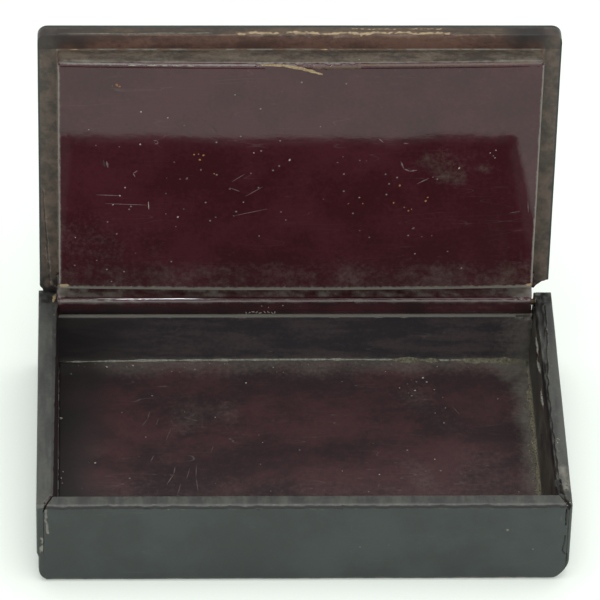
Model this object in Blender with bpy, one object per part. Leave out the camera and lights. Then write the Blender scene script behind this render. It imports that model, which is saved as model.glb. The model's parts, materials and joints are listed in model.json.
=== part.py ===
"""Rectangular lacquered snuff box with mitred walls and a hinged lid, standing open.

Metres, +Z up. The origin is the centre of the underside, and the front faces -Y.
"""
import math

import bmesh
import bpy
from mathutils import Matrix, Vector

# Driving dimensions of the box
box_width = 0.0830
box_depth = 0.0540
wall_height = 0.0153
bottom_thickness = 0.0024
front_thickness = 0.0025
back_thickness = 0.0028

# Side walls, thicker at the foot than at the top, and worn most at the right front
left_foot = 0.0032
left_top_back = 0.0030
left_top_front = 0.0026
right_foot = 0.0034
right_top_back = 0.0028
right_top_front = 0.0020
taper_steps = 6

# How much of each side wall's end shows on the front face, outside the mitre
left_mitre_strip = 0.0014
right_mitre_strip = 0.0008

# Roundings of the outer form
side_foot_radius = 0.0026
long_foot_radius = 0.0008
front_top_radius = 0.0007
side_top_radius = 0.0004
rear_top_radius = 0.0015
upright_radius = 0.0005
back_top_radius = 0.0006
arc_steps = 6
sharp_angle = math.radians(35)
flat_angle = math.radians(0.01)

# Hinge axis and pins
hinge_from_back = 0.0022
hinge_below_top = 0.0010
roll_radius = 0.0018
pin_radius = 0.0005
pin_clearance = 0.0002
pin_in_roll = 0.0030
pin_hole_end = 0.0005
pin_outer_setback = 0.0003
pin_sides = 24

# Lid
lid_open_angle = math.radians(91.0)
lid_thickness = 0.0026
lid_left_inset = 0.0002
lid_right_inset = 0.0006
lid_corner_radius = 0.0016
lid_outer_edge_radius = 0.0008
rim_end = 0.0019
rim_corner_radius = 0.0008
heel_setback = 0.0002
heel_radius = 0.0018
panel_side_depth = 0.0037
panel_crown = 0.0006
panel_rear = 0.0053
panel_edge_radius = 0.0004
crown_steps = 16

# Broken right rear corner of the lid, measured from the hinge axis
break_at_edge = 0.0040
break_at_panel = 0.0012
break_hollow = 0.0003

# Clearances
joint_gap = 0.0003
roll_left_gap = 0.0003
roll_right_gap = 0.0006
heel_clearance = 0.0003
lid_seat_gap = 0.0002
panel_front_clearance = 0.0003

# Places that follow from the sizes
half_width = box_width / 2
half_depth = box_depth / 2
axis_y = half_depth - hinge_from_back
axis_z = wall_height - hinge_below_top
heel_back = hinge_from_back - heel_setback
back_height = axis_z - heel_back - heel_clearance
pin_hole_radius = pin_radius + pin_clearance
rim_low = hinge_below_top + lid_seat_gap
rim_high = rim_low + lid_thickness
lid_reach = box_depth - hinge_from_back
overshoot = 0.0010


def thickness_at(foot, top, height):
    """A side wall's thickness at a height, between its foot and its top."""
    return foot + (top - foot) * height / wall_height


# Room between the side walls at the foot of the roll, which the roll and the panel share
roll_foot = axis_z - roll_radius
roll_left = -half_width + thickness_at(left_foot, left_top_back, roll_foot) + roll_left_gap
roll_right = half_width - thickness_at(right_foot, right_top_back, roll_foot) - roll_right_gap
lid_left = -half_width + lid_left_inset
lid_right = half_width - lid_right_inset


def clear_scene():
    """Empties the scene."""
    for item in list(bpy.data.objects):
        bpy.data.objects.remove(item, do_unlink=True)


def add_collection(name):
    """A collection linked to the scene."""
    collection = bpy.data.collections.new(name)
    bpy.context.scene.collection.children.link(collection)
    return collection


def add_material(name, colour, roughness, metallic=0.0):
    """A plain finish."""
    material = bpy.data.materials.new(name)
    material.use_nodes = True
    shader = material.node_tree.nodes["Principled BSDF"]
    shader.inputs["Base Color"].default_value = (*colour, 1.0)
    shader.inputs["Roughness"].default_value = roughness
    shader.inputs["Metallic"].default_value = metallic
    return material


def add_object(name, mesh, collection, material=None):
    """An object for a mesh, in one collection."""
    item = bpy.data.objects.new(name, mesh)
    collection.objects.link(item)
    if material is not None:
        mesh.materials.append(material)
    return item


def mark_cutter(item):
    """Shows a cutter as wires and keeps it out of renders."""
    item.display_type = "WIRE"
    item.hide_render = True
    return item


def write_mesh(work, mesh):
    """Closes an edit of a mesh, with twisted faces split and only curved faces shaded smooth."""
    bmesh.ops.connect_verts_nonplanar(work, angle_limit=flat_angle, faces=work.faces)
    bmesh.ops.recalc_face_normals(work, faces=work.faces)
    work.to_mesh(mesh)
    work.free()
    mesh.shade_smooth()
    mesh.set_sharp_from_angle(angle=sharp_angle)


def round_edges(mesh, picked, radius, segments):
    """Rounds the edges of a mesh that a test picks."""
    work = bmesh.new()
    work.from_mesh(mesh)
    bmesh.ops.bevel(
        work, geom=[edge for edge in work.edges if picked(edge)], offset=radius,
        segments=segments, profile=0.5, affect="EDGES", material=-1, clamp_overlap=True)
    write_mesh(work, mesh)


def rounded(corners, steps=arc_steps):
    """The outline through corners (x, y, radius), each corner turned into an arc."""
    points = []
    count = len(corners)
    for index, (x, y, radius) in enumerate(corners):
        here = Vector((x, y))
        if radius <= 0:
            points.append(here)
            continue
        back = (Vector(corners[index - 1][:2]) - here).normalized()
        ahead = (Vector(corners[(index + 1) % count][:2]) - here).normalized()
        half_angle = back.angle(ahead) / 2
        reach = radius / math.tan(half_angle)
        centre = here + (back + ahead).normalized() * (radius / math.sin(half_angle))
        start = here + back * reach - centre
        turn = start.angle_signed(here + ahead * reach - centre)
        for step in range(steps + 1):
            angle = -turn * step / steps
            points.append(centre + Matrix.Rotation(angle, 2) @ start)
    return points


def grown(outline, gap):
    """A convex anticlockwise outline with every side moved out by a gap."""
    count = len(outline)
    points = []
    for index in range(count):
        before = Vector(outline[index - 1])
        here = Vector(outline[index])
        after = Vector(outline[(index + 1) % count])
        side_in = (here - before).normalized()
        side_out = (after - here).normalized()
        out_in = Vector((side_in.y, -side_in.x))
        out_out = Vector((side_out.y, -side_out.x))
        middle = (out_in + out_out).normalized()
        points.append(here + middle * (gap / middle.dot(out_in)))
    return points


def slab(name, outline, low, high, collection, rotation=(0.0, 0.0, 0.0)):
    """A flat outline with thickness, from low to high along its own Z, turned by rotation."""
    curve = bpy.data.curves.new(name, "CURVE")
    curve.dimensions = "2D"
    curve.fill_mode = "BOTH"
    curve.extrude = (high - low) / 2
    spline = curve.splines.new("POLY")
    spline.points.add(len(outline) - 1)
    for point, place in zip(spline.points, outline):
        point.co = (place[0], place[1], 0.0, 1.0)
    spline.use_cyclic_u = True
    drawn = bpy.data.objects.new(name + "_outline", curve)
    collection.objects.link(drawn)
    bpy.context.view_layer.update()
    mesh = bpy.data.meshes.new_from_object(drawn.evaluated_get(bpy.context.evaluated_depsgraph_get()))
    bpy.data.objects.remove(drawn, do_unlink=True)
    work = bmesh.new()
    work.from_mesh(mesh)
    bmesh.ops.remove_doubles(work, verts=work.verts, dist=1e-7)
    bmesh.ops.translate(work, verts=work.verts, vec=(0.0, 0.0, (low + high) / 2))
    write_mesh(work, mesh)
    mesh.name = name
    item = add_object(name, mesh, collection)
    item.rotation_euler = rotation
    return item


def cut_across(work, direction, start, end, steps):
    """Cuts a mesh into even slices along one direction."""
    along = Vector(direction)
    for step in range(1, steps):
        place = along * (start + (end - start) * step / steps)
        geometry = work.verts[:] + work.edges[:] + work.faces[:]
        bmesh.ops.bisect_plane(work, geom=geometry, plane_co=place, plane_no=along)


def block(name, low_corners, high_corners, low, high, collection, slices=1):
    """A box with its own corners at foot and top, each (x, y) as left front, right front,
    right back and left back. Slices from front to back let a tapered side twist."""
    work = bmesh.new()
    bmesh.ops.create_cube(work, size=2.0)
    order = {(-1, -1): 0, (1, -1): 1, (1, 1): 2, (-1, 1): 3}
    for vert in work.verts:
        corner = order[(round(vert.co.x), round(vert.co.y))]
        top = vert.co.z > 0
        place = (high_corners if top else low_corners)[corner]
        vert.co = (place[0], place[1], high if top else low)
    cut_across(work, (0.0, 1.0, 0.0), low_corners[0][1], low_corners[2][1], slices)
    mesh = bpy.data.meshes.new(name)
    write_mesh(work, mesh)
    return add_object(name, mesh, collection)


def cylinder_along_x(name, radius, start, end, collection):
    """A round bar on the X axis from start to end."""
    work = bmesh.new()
    bmesh.ops.create_cone(
        work, cap_ends=True, segments=pin_sides, radius1=radius, radius2=radius, depth=end - start)
    turned = Matrix.Translation(((start + end) / 2, 0.0, 0.0)) @ Matrix.Rotation(math.pi / 2, 4, "Y")
    bmesh.ops.transform(work, matrix=turned, verts=work.verts)
    mesh = bpy.data.meshes.new(name)
    write_mesh(work, mesh)
    return add_object(name, mesh, collection)


def combine(item, other, operation):
    """Adds a Boolean of another object."""
    modifier = item.modifiers.new(operation.lower() + "_" + other.name, "BOOLEAN")
    modifier.operation = operation
    modifier.object = other
    modifier.solver = "EXACT"


def make_outer_form(cutters):
    """The rounded block that all boards are cut from."""
    standing = (math.pi / 2, 0.0, 0.0)
    sideways = (math.pi / 2, 0.0, math.pi / 2)
    front_view = rounded([
        (-half_width, 0.0, side_foot_radius),
        (half_width, 0.0, side_foot_radius),
        (half_width, wall_height, side_top_radius),
        (-half_width, wall_height, side_top_radius)])
    side_view = rounded([
        (-half_depth, 0.0, long_foot_radius),
        (half_depth, 0.0, long_foot_radius),
        (half_depth, wall_height, rear_top_radius),
        (-half_depth, wall_height, front_top_radius)])
    plan_view = rounded([
        (-half_width, -half_depth, upright_radius),
        (half_width, -half_depth, upright_radius),
        (half_width, half_depth, upright_radius),
        (-half_width, half_depth, upright_radius)])
    long_reach = half_depth + overshoot
    wide_reach = half_width + overshoot
    form = mark_cutter(slab("outer_form", front_view, -long_reach, long_reach, cutters, standing))
    side_form = mark_cutter(slab("side_form", side_view, -wide_reach, wide_reach, cutters, sideways))
    plan_form = mark_cutter(slab("plan_form", plan_view, -overshoot, wall_height + overshoot, cutters))
    combine(form, side_form, "INTERSECT")
    combine(form, plan_form, "INTERSECT")
    return form


def front_plan():
    """The front board seen from above, mitred at both ends and running out past its front face."""
    inner_y = -half_depth + front_thickness
    outer_y = -half_depth - overshoot

    def mitre(side, strip, inner_end):
        spread = (inner_end - strip) / front_thickness * overshoot
        return (side * (half_width - strip + spread), outer_y), (side * (half_width - inner_end), inner_y)

    left_outer, left_inner = mitre(-1, left_mitre_strip, left_top_front)
    right_outer, right_inner = mitre(1, right_mitre_strip, right_top_front)
    return [left_outer, right_outer, right_inner, left_inner]


def make_front_wall(parts, form, finish):
    """The front board, from mitre to mitre."""
    wall = slab("front_wall", front_plan(), -overshoot, wall_height + overshoot, parts)
    wall.data.materials.append(finish)
    combine(wall, form, "INTERSECT")


def make_side_wall(name, side, foot, top_back, top_front, parts, cutters, form, front_room, finish):
    """A side board, -1 for left and 1 for right, cut back to make room for the front board."""
    outer = side * (half_width + overshoot)
    front = -half_depth - overshoot
    back = half_depth + overshoot
    low = -overshoot
    high = wall_height + overshoot

    def plan(height):
        front_inner = side * (half_width - thickness_at(foot, top_front, height))
        back_inner = side * (half_width - thickness_at(foot, top_back, height))
        corners = [(outer, front), (front_inner, front), (back_inner, back), (outer, back)]
        return corners if side < 0 else [corners[1], corners[0], corners[3], corners[2]]

    wall = block(name, plan(low), plan(high), low, high, parts, taper_steps)
    wall.data.materials.append(finish)
    combine(wall, form, "INTERSECT")
    combine(wall, front_room, "DIFFERENCE")
    inner = side * (half_width - max(foot, top_back) - overshoot)
    start, end = sorted((outer, inner))
    hole = mark_cutter(cylinder_along_x(name + "_pin_hole", pin_hole_radius, start, end, cutters))
    hole.location = (0.0, axis_y, axis_z)
    combine(wall, hole, "DIFFERENCE")


def make_back_wall(parts, cutters, finish):
    """The low back board, which fills the room between the side boards."""
    inner_y = half_depth - back_thickness
    side_view = rounded([
        (inner_y, 0.0, 0.0),
        (half_depth, 0.0, long_foot_radius),
        (half_depth, back_height, back_top_radius),
        (inner_y, back_height, back_top_radius)])

    def plan(height):
        left_x = -half_width + thickness_at(left_foot, left_top_back, height) + joint_gap
        right_x = half_width - thickness_at(right_foot, right_top_back, height) - joint_gap
        front = inner_y - overshoot
        back = half_depth + overshoot
        return [(left_x, front), (right_x, front), (right_x, back), (left_x, back)]

    low = -overshoot
    high = back_height + overshoot
    wall = slab(
        "back_wall", side_view, -half_width, half_width, parts, (math.pi / 2, 0.0, math.pi / 2))
    wall.data.materials.append(finish)
    room = mark_cutter(block("back_room", plan(low), plan(high), low, high, cutters))
    combine(wall, room, "INTERSECT")


def make_bottom_board(parts, finish):
    """The floor, between the four walls."""
    left = -half_width + left_foot + joint_gap
    right = half_width - right_foot - joint_gap
    front = -half_depth + front_thickness + joint_gap
    back = half_depth - back_thickness - joint_gap
    corners = [(left, front), (right, front), (right, back), (left, back)]
    board = block("bottom_board", corners, corners, 0.0, bottom_thickness, parts)
    board.data.materials.append(finish)


def make_hinge_pin(name, side, roll_face, parts, finish):
    """A pin through a side wall into the roll's end."""
    outer = side * (half_width - pin_outer_setback)
    inner = roll_face - side * pin_in_roll
    start, end = sorted((outer, inner))
    pin = cylinder_along_x(name, pin_radius, start, end, parts)
    pin.data.materials.append(finish)
    pin.location = (0.0, axis_y, axis_z)


def make_lid_plate(parts):
    """The lid's board, closed, with the hinge axis at its origin and its front towards -Y."""
    outline = rounded([
        (lid_left, -lid_reach, lid_corner_radius),
        (lid_right, -lid_reach, lid_corner_radius),
        (lid_right, -rim_end, 0.0),
        (lid_left, -rim_end, rim_corner_radius)])
    plate = slab("lid", outline, rim_low, rim_high, parts)
    round_edges(
        plate.data, lambda edge: all(vert.co.z > (rim_low + rim_high) / 2 for vert in edge.verts)
        and edge.calc_face_angle() > sharp_angle, lid_outer_edge_radius, 3)
    return plate


def heel_outline():
    """The lid's rear in side view: underside, roll, flat heel and rounded back edge."""

    def arc(centre, reach_y, reach_z, start, end, steps):
        turns = [start + (end - start) * step / steps for step in range(steps + 1)]
        return [
            (centre[0] + reach_y * math.cos(turn), centre[1] + reach_z * math.sin(turn))
            for turn in turns]

    meets_rim = math.pi - math.asin(rim_low / roll_radius)
    inside = -rim_end - lid_outer_edge_radius - overshoot
    roll_front = arc((0.0, 0.0), roll_radius, roll_radius, meets_rim, 1.5 * math.pi, 3 * arc_steps)
    roll_back = arc((0.0, 0.0), heel_back, roll_radius, 1.5 * math.pi, 2 * math.pi, 2 * arc_steps)
    shoulder_centre = (heel_back - heel_radius, rim_high - heel_radius)
    shoulder = arc(shoulder_centre, heel_radius, heel_radius, 0.0, math.pi / 2, arc_steps)
    return [(inside, rim_low)] + roll_front[:-1] + roll_back + shoulder + [(inside, rim_high)]


def make_panel(cutters):
    """The raised panel inside the lid, crowned from side to side."""
    front = -(lid_reach - front_thickness - panel_front_clearance)
    back = -panel_rear
    low = rim_low - panel_side_depth
    high = rim_low + lid_thickness / 2
    corners = [(roll_left, front), (roll_right, front), (roll_right, back), (roll_left, back)]
    panel = block("lid_panel", corners, corners, low, high, cutters)
    middle_height = (low + high) / 2
    round_edges(
        panel.data, lambda edge: any(vert.co.z < middle_height for vert in edge.verts),
        panel_edge_radius, 2)
    work = bmesh.new()
    work.from_mesh(panel.data)
    cut_across(work, (1.0, 0.0, 0.0), roll_left, roll_right, crown_steps)
    middle = (roll_left + roll_right) / 2
    for vert in work.verts:
        if vert.co.z < rim_low:
            across = (vert.co.x - middle) / (roll_right - middle)
            vert.co.z -= panel_crown * (1.0 - across * across)
    write_mesh(work, panel.data)
    return mark_cutter(panel)


def break_outline():
    """What is missing at the lid's right rear corner, seen from above the closed lid."""
    middle_x = (lid_right + roll_right) / 2
    middle_y = -(break_at_edge + break_at_panel) / 2 - break_hollow
    return [
        (roll_right, -break_at_panel),
        (middle_x, middle_y),
        (lid_right + overshoot, -break_at_edge),
        (lid_right + overshoot, overshoot),
        (roll_right, overshoot)]


def make_lid(parts, cutters, finish):
    """The lid, modelled closed about the hinge axis and then opened."""
    lid = make_lid_plate(parts)
    lid.data.materials.append(finish)
    heel = mark_cutter(slab(
        "lid_heel", heel_outline(), roll_left, roll_right, cutters,
        (math.pi / 2, 0.0, math.pi / 2)))
    panel = make_panel(cutters)
    missing = mark_cutter(slab(
        "lid_missing_corner", break_outline(), rim_low - overshoot, rim_high + overshoot, cutters))
    left_hole = mark_cutter(cylinder_along_x(
        "lid_left_hole", pin_hole_radius, roll_left - overshoot,
        roll_left + pin_in_roll + pin_hole_end, cutters))
    right_hole = mark_cutter(cylinder_along_x(
        "lid_right_hole", pin_hole_radius, roll_right - pin_in_roll - pin_hole_end,
        roll_right + overshoot, cutters))
    combine(lid, missing, "DIFFERENCE")
    combine(lid, heel, "UNION")
    combine(lid, panel, "UNION")
    combine(lid, left_hole, "DIFFERENCE")
    combine(lid, right_hole, "DIFFERENCE")
    for child in (heel, panel, missing, left_hole, right_hole):
        child.parent = lid
    lid.location = (0.0, axis_y, axis_z)
    lid.rotation_euler = (-lid_open_angle, 0.0, 0.0)


def main():
    """Builds the whole snuff box."""
    clear_scene()
    parts = add_collection("snuff_box")
    cutters = add_collection("cutters")
    outer_finish = add_material("black_lacquer", (0.022, 0.022, 0.021), 0.25)
    inner_finish = add_material("dark_red_lacquer", (0.050, 0.010, 0.012), 0.25)
    pin_finish = add_material("aged_brass", (0.35, 0.27, 0.14), 0.45, 1.0)
    form = make_outer_form(cutters)
    front_room = mark_cutter(slab(
        "front_room", grown(front_plan(), joint_gap), -overshoot, wall_height + overshoot, cutters))
    make_bottom_board(parts, inner_finish)
    make_front_wall(parts, form, outer_finish)
    make_back_wall(parts, cutters, outer_finish)
    make_side_wall(
        "left_wall", -1, left_foot, left_top_back, left_top_front,
        parts, cutters, form, front_room, outer_finish)
    make_side_wall(
        "right_wall", 1, right_foot, right_top_back, right_top_front,
        parts, cutters, form, front_room, outer_finish)
    make_lid(parts, cutters, inner_finish)
    make_hinge_pin("left_hinge_pin", -1, roll_left, parts, pin_finish)
    make_hinge_pin("right_hinge_pin", 1, roll_right, parts, pin_finish)


main()
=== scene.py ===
# Rectangular snuff box of lacquered papier-mache, standing open, with a worn hinge and opened mitres
import json
import math
import random

import bmesh
import bpy
from mathutils import Matrix, Vector, kdtree, noise


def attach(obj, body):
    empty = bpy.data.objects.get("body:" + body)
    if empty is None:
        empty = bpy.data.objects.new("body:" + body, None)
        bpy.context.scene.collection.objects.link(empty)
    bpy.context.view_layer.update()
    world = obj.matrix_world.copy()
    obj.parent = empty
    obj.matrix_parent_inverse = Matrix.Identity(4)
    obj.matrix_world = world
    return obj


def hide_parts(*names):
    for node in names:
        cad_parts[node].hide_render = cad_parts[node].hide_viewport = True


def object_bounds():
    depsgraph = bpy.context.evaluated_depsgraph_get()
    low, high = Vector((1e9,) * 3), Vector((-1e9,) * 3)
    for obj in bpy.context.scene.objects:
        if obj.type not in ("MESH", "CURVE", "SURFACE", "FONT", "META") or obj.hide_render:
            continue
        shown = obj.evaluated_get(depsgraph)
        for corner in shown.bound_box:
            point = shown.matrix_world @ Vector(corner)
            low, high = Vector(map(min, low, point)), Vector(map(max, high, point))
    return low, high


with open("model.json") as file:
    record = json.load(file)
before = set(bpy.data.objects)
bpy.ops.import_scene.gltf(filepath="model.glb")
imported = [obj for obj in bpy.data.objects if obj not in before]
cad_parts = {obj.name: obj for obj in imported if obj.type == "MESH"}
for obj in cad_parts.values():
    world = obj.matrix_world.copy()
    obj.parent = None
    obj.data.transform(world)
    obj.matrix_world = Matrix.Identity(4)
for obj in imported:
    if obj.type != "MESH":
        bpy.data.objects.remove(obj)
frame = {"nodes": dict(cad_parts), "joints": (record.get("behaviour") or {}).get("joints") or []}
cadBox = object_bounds()
mm = 0.001
noise.seed_set(3)  # without it noise_vector starts from the clock, and cracks move each run
print("frame loaded")

# View

cameraSet = {
    "turn": 2.588,  # degrees to the right of straight ahead
    "tilt": 38.537,  # degrees down
    "roll": -1.513,
    "right": -0.320,  # where the box's centre falls beside the axis of view, mm
    "down": 26.982,
    "distance": 904.8,
    "focus": 5659.8,  # focal length in pixels
}


def addCamera(settings):
    turn, tilt, roll = (math.radians(settings[key]) for key in ("turn", "tilt", "roll"))
    level = Vector((math.sin(turn), math.cos(turn), 0))
    across = Vector((math.cos(turn), -math.sin(turn), 0))
    ahead = level * math.cos(tilt) - Vector((0, 0, math.sin(tilt)))
    below = ahead.cross(across)
    right = across * math.cos(roll) + below * math.sin(roll)
    down = below * math.cos(roll) - across * math.sin(roll)
    place = -(right * settings["right"] + down * settings["down"] + ahead * settings["distance"]) * mm
    data = bpy.data.cameras.new("viewCamera")
    data.sensor_width = 36
    data.lens = settings["focus"] * data.sensor_width / 600  # the picture is 600 pixels wide
    camera = bpy.data.objects.new("viewCamera", data)
    bpy.context.scene.collection.objects.link(camera)
    turned = Matrix((right, -down, -ahead)).transposed().to_4x4()
    camera.matrix_world = Matrix.Translation(place) @ turned
    bpy.context.scene.camera = camera


# Materials

def linear(hexColour):
    values = [int(hexColour[i:i + 2], 16) / 255 for i in (0, 2, 4)]
    return [v / 12.92 if v <= 0.04045 else ((v + 0.055) / 1.055) ** 2.4 for v in values] + [1.0]


def addNode(tree, kind, settings=None, inputs=None):
    node = tree.nodes.new("ShaderNode" + kind)
    for key, value in (settings or {}).items():
        setattr(node, key, value)
    for key, value in (inputs or {}).items():
        if isinstance(value, bpy.types.NodeSocket):
            tree.links.new(value, node.inputs[key])
        else:
            node.inputs[key].default_value = value
    return node


def newMaterial(name):
    material = bpy.data.materials.new(name)
    material.use_nodes = True
    tree = material.node_tree
    return material, tree, tree.nodes["Principled BSDF"]


studio = {
    "table": "D5DDD6",
    "shadeLiftingGlow": 0.22,  # painted light: the card glows a little of itself, so the shade under and beside the box stays light
    "horizon": 0.55,
    "zenith": 0.72,
    "ceiling": {"place": (0.18, -0.02, 1.5), "size": (1.5, 1.4), "watts": 14.5},
    "window": {"place": (0.0, -2.0, 1.1), "size": (2.2, 1.1), "watts": 17.0},
    "lamp": {"place": (0.002, -0.63, 1.42), "size": (0.030, 0.05), "watts": 0.9},
}


def addStudio(settings):
    mesh = bpy.data.meshes.new("tableTop")
    edit = bmesh.new()
    bmesh.ops.create_grid(edit, x_segments=1, y_segments=1, size=1.6)
    edit.to_mesh(mesh)
    edit.free()
    table = bpy.data.objects.new("tableTop", mesh)
    bpy.context.scene.collection.objects.link(table)
    material, tree, shader = newMaterial("matte white card")
    shader.inputs["Base Color"].default_value = linear(settings["table"])
    shader.inputs["Roughness"].default_value = 0.9
    # Painted light: the card's own emission lightens the shade the box casts on it
    shader.inputs["Emission Color"].default_value = linear("F4F8F1")
    shader.inputs["Emission Strength"].default_value = settings["shadeLiftingGlow"]
    mesh.materials.append(material)
    for name in ("ceiling", "window", "lamp"):
        part = settings[name]
        data = bpy.data.lights.new(name, "AREA")
        data.shape = "RECTANGLE"
        data.size, data.size_y = part["size"]
        data.energy = part["watts"]
        light = bpy.data.objects.new(name, data)
        bpy.context.scene.collection.objects.link(light)
        light.location = part["place"]
        light.rotation_euler = (-Vector(part["place"])).to_track_quat("-Z", "Y").to_euler()
    world = bpy.data.worlds.new("room")
    world.use_nodes = True
    bpy.context.scene.world = world
    tree = world.node_tree
    back = tree.nodes["Background"]
    coords = addNode(tree, "TexCoord")
    parts = addNode(tree, "SeparateXYZ", None, {"Vector": coords.outputs["Generated"]})
    rise = addNode(tree, "MapRange", {"interpolation_type": "SMOOTHSTEP"}, {
        "Value": parts.outputs["Z"], "From Min": 0.1, "From Max": 0.95,
        "To Min": settings["horizon"], "To Max": settings["zenith"]})
    back.inputs["Color"].default_value = (1, 1, 1, 1)
    tree.links.new(rise.outputs["Result"], back.inputs["Strength"])
    bpy.context.scene.view_settings.view_transform = "Standard"  # keeps the card white


def noiseAt(place, size, seed):
    return noise.noise(Vector(place) / size + Vector((seed * 7.3, seed * 3.1, seed * 5.7)))


def smooth(value, low, high):
    share = max(0.0, min(1.0, (value - low) / (high - low)))
    return share * share * (3 - 2 * share)


# Finishes

lacquers = {
    # Rubbed black lacquer over paper board: soft reflections, brown where edges are worn through
    "blackLacquer": {
        "name": "rubbed black lacquer", "speckle": 0.6,
        "colours": ("202625", "2B3230"), "cloud": 14.0, "stretch": (1, 1, 1),
        "roughness": (0.30, 0.42), "worn": "59544B", "wornFrom": 0.75, "flecks": 0.05, "scratches": 0.06,
        "peel": 0.010,
    },
    # Black lacquer on the rims, dulled by handling: streaky grey along the board, made lighter than the sides
    # as a painted sheen from the overhead light
    "rimLacquerAndSheen": {
        "name": "dulled black lacquer with painted sheen", "speckle": 1.4,
        "colours": ("323432", "464842"), "cloud": 2.2, "stretch": (1, 0.18, 1),
        "roughness": (0.38, 0.55), "worn": "625E54", "wornFrom": 0.7, "flecks": 0.10, "scratches": 0.10,
        "peel": 0.012,
    },
    # Polished dark red lacquer: a near mirror, so the panel shows the table in its upper part
    "panelLacquer": {
        "name": "polished dark red lacquer", "speckle": 2.2,
        "colours": ("34161A", "401D23"), "cloud": 12.0,
        "stretch": (1, 1, 1), "roughness": (0.015, 0.03), "worn": "6A5B52", "wornFrom": 0.95, "flecks": 0.22,
        "scratches": 0.10, "peel": 0.008, "grain": 0.0034,
    },
    # The same lacquer inside the box, scuffed by the contents: broad dull reflections
    "innerLacquer": {
        "name": "scuffed dark red lacquer", "speckle": 2.4,
        "colours": ("2A2022", "3E2628"), "cloud": 9.0,
        "stretch": (0.6, 1, 1), "roughness": (0.30, 0.46), "worn": "6E6A5E", "wornFrom": 0.6, "flecks": 0.18,
        "scratches": 0.22, "peel": 0.010,
    },
    # The back board's inner face: nearly black, with a film of dust
    "backLacquer": {
        "name": "dusty black-brown lacquer", "speckle": 2.4,
        "colours": ("29272A", "3E3636"), "cloud": 2.6,
        "stretch": (0.25, 1, 1.3), "roughness": (0.32, 0.50), "worn": "6E6A5E", "wornFrom": 0.6,
        "flecks": 0.15, "scratches": 0.15, "peel": 0.010,
    },
    # The lid's side rims: grey-brown, handled dull
    "sideLacquer": {
        "name": "handled grey-brown lacquer", "speckle": 2.4,
        "colours": ("3A322B", "584B40"), "cloud": 2.4,
        "stretch": (1, 0.6, 1), "roughness": (0.38, 0.55), "worn": "7C766C", "wornFrom": 0.6, "flecks": 0.12,
        "scratches": 0.12, "peel": 0.012,
    },
    # Brown where the red has been rubbed thin over the board, dull and dusty
    "brownLacquer": {
        "name": "worn brown lacquer", "speckle": 2.4,
        "colours": ("3F2B25", "5C4135"), "cloud": 3.2, "stretch": (0.3, 1, 1),
        "roughness": (0.40, 0.60), "worn": "705E4C", "wornFrom": 0.6, "flecks": 0.12, "scratches": 0.12,
        "peel": 0.015,
    },
    # The front side of the lid's panel: rubbed dull along its length, olive-brown
    "plugLacquer": {
        "name": "rubbed olive-brown lacquer", "speckle": 2.6,
        "colours": ("332C25", "51473B"), "cloud": 1.8,
        "stretch": (0.22, 1, 1), "roughness": (0.45, 0.62), "worn": "7A6A58", "wornFrom": 0.9, "flecks": 0.20,
        "scratches": 0.20, "peel": 0.015,
    },
    # The lid's front end: rubbed olive-brown, darker than the panel's side
    "endLacquer": {
        "name": "olive-brown lacquer", "speckle": 2.6,
        "colours": ("32281E", "4E4030"), "cloud": 2.4,
        "stretch": (0.3, 1, 1), "roughness": (0.45, 0.62), "worn": "705E4C", "wornFrom": 0.7, "flecks": 0.15,
        "scratches": 0.12, "peel": 0.015,
    },
    # Inside the right wall, where grime has settled: dark olive, streaked along the board
    "grimyLacquer": {
        "name": "grimy lacquer", "speckle": 2.6,
        "colours": ("26231F", "47443A"), "cloud": 1.5, "stretch": (1, 0.22, 1),
        "roughness": (0.45, 0.62), "worn": "625E54", "wornFrom": 0.7, "flecks": 0.20, "scratches": 0.12,
        "peel": 0.015,
    },
}

marks = [
    # What covers the lacquer: attribute, colour, roughness, and how ragged its edge is
    {"from": "dust", "colour": "76746A", "roughness": 0.75, "low": 0.12, "high": 1.05, "ragged": 0.45},
    {"from": "bare", "colour": "584638", "roughness": 0.75, "low": 0.22, "high": 0.42, "ragged": 0.25},
    {"from": "bare", "colour": "9C8A6C", "roughness": 0.85, "low": 0.58, "high": 0.80, "ragged": 0.30},
    {"from": "dark", "colour": "120F0E", "roughness": 0.60, "low": 0.25, "high": 0.85, "ragged": 0.30},
]


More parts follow.
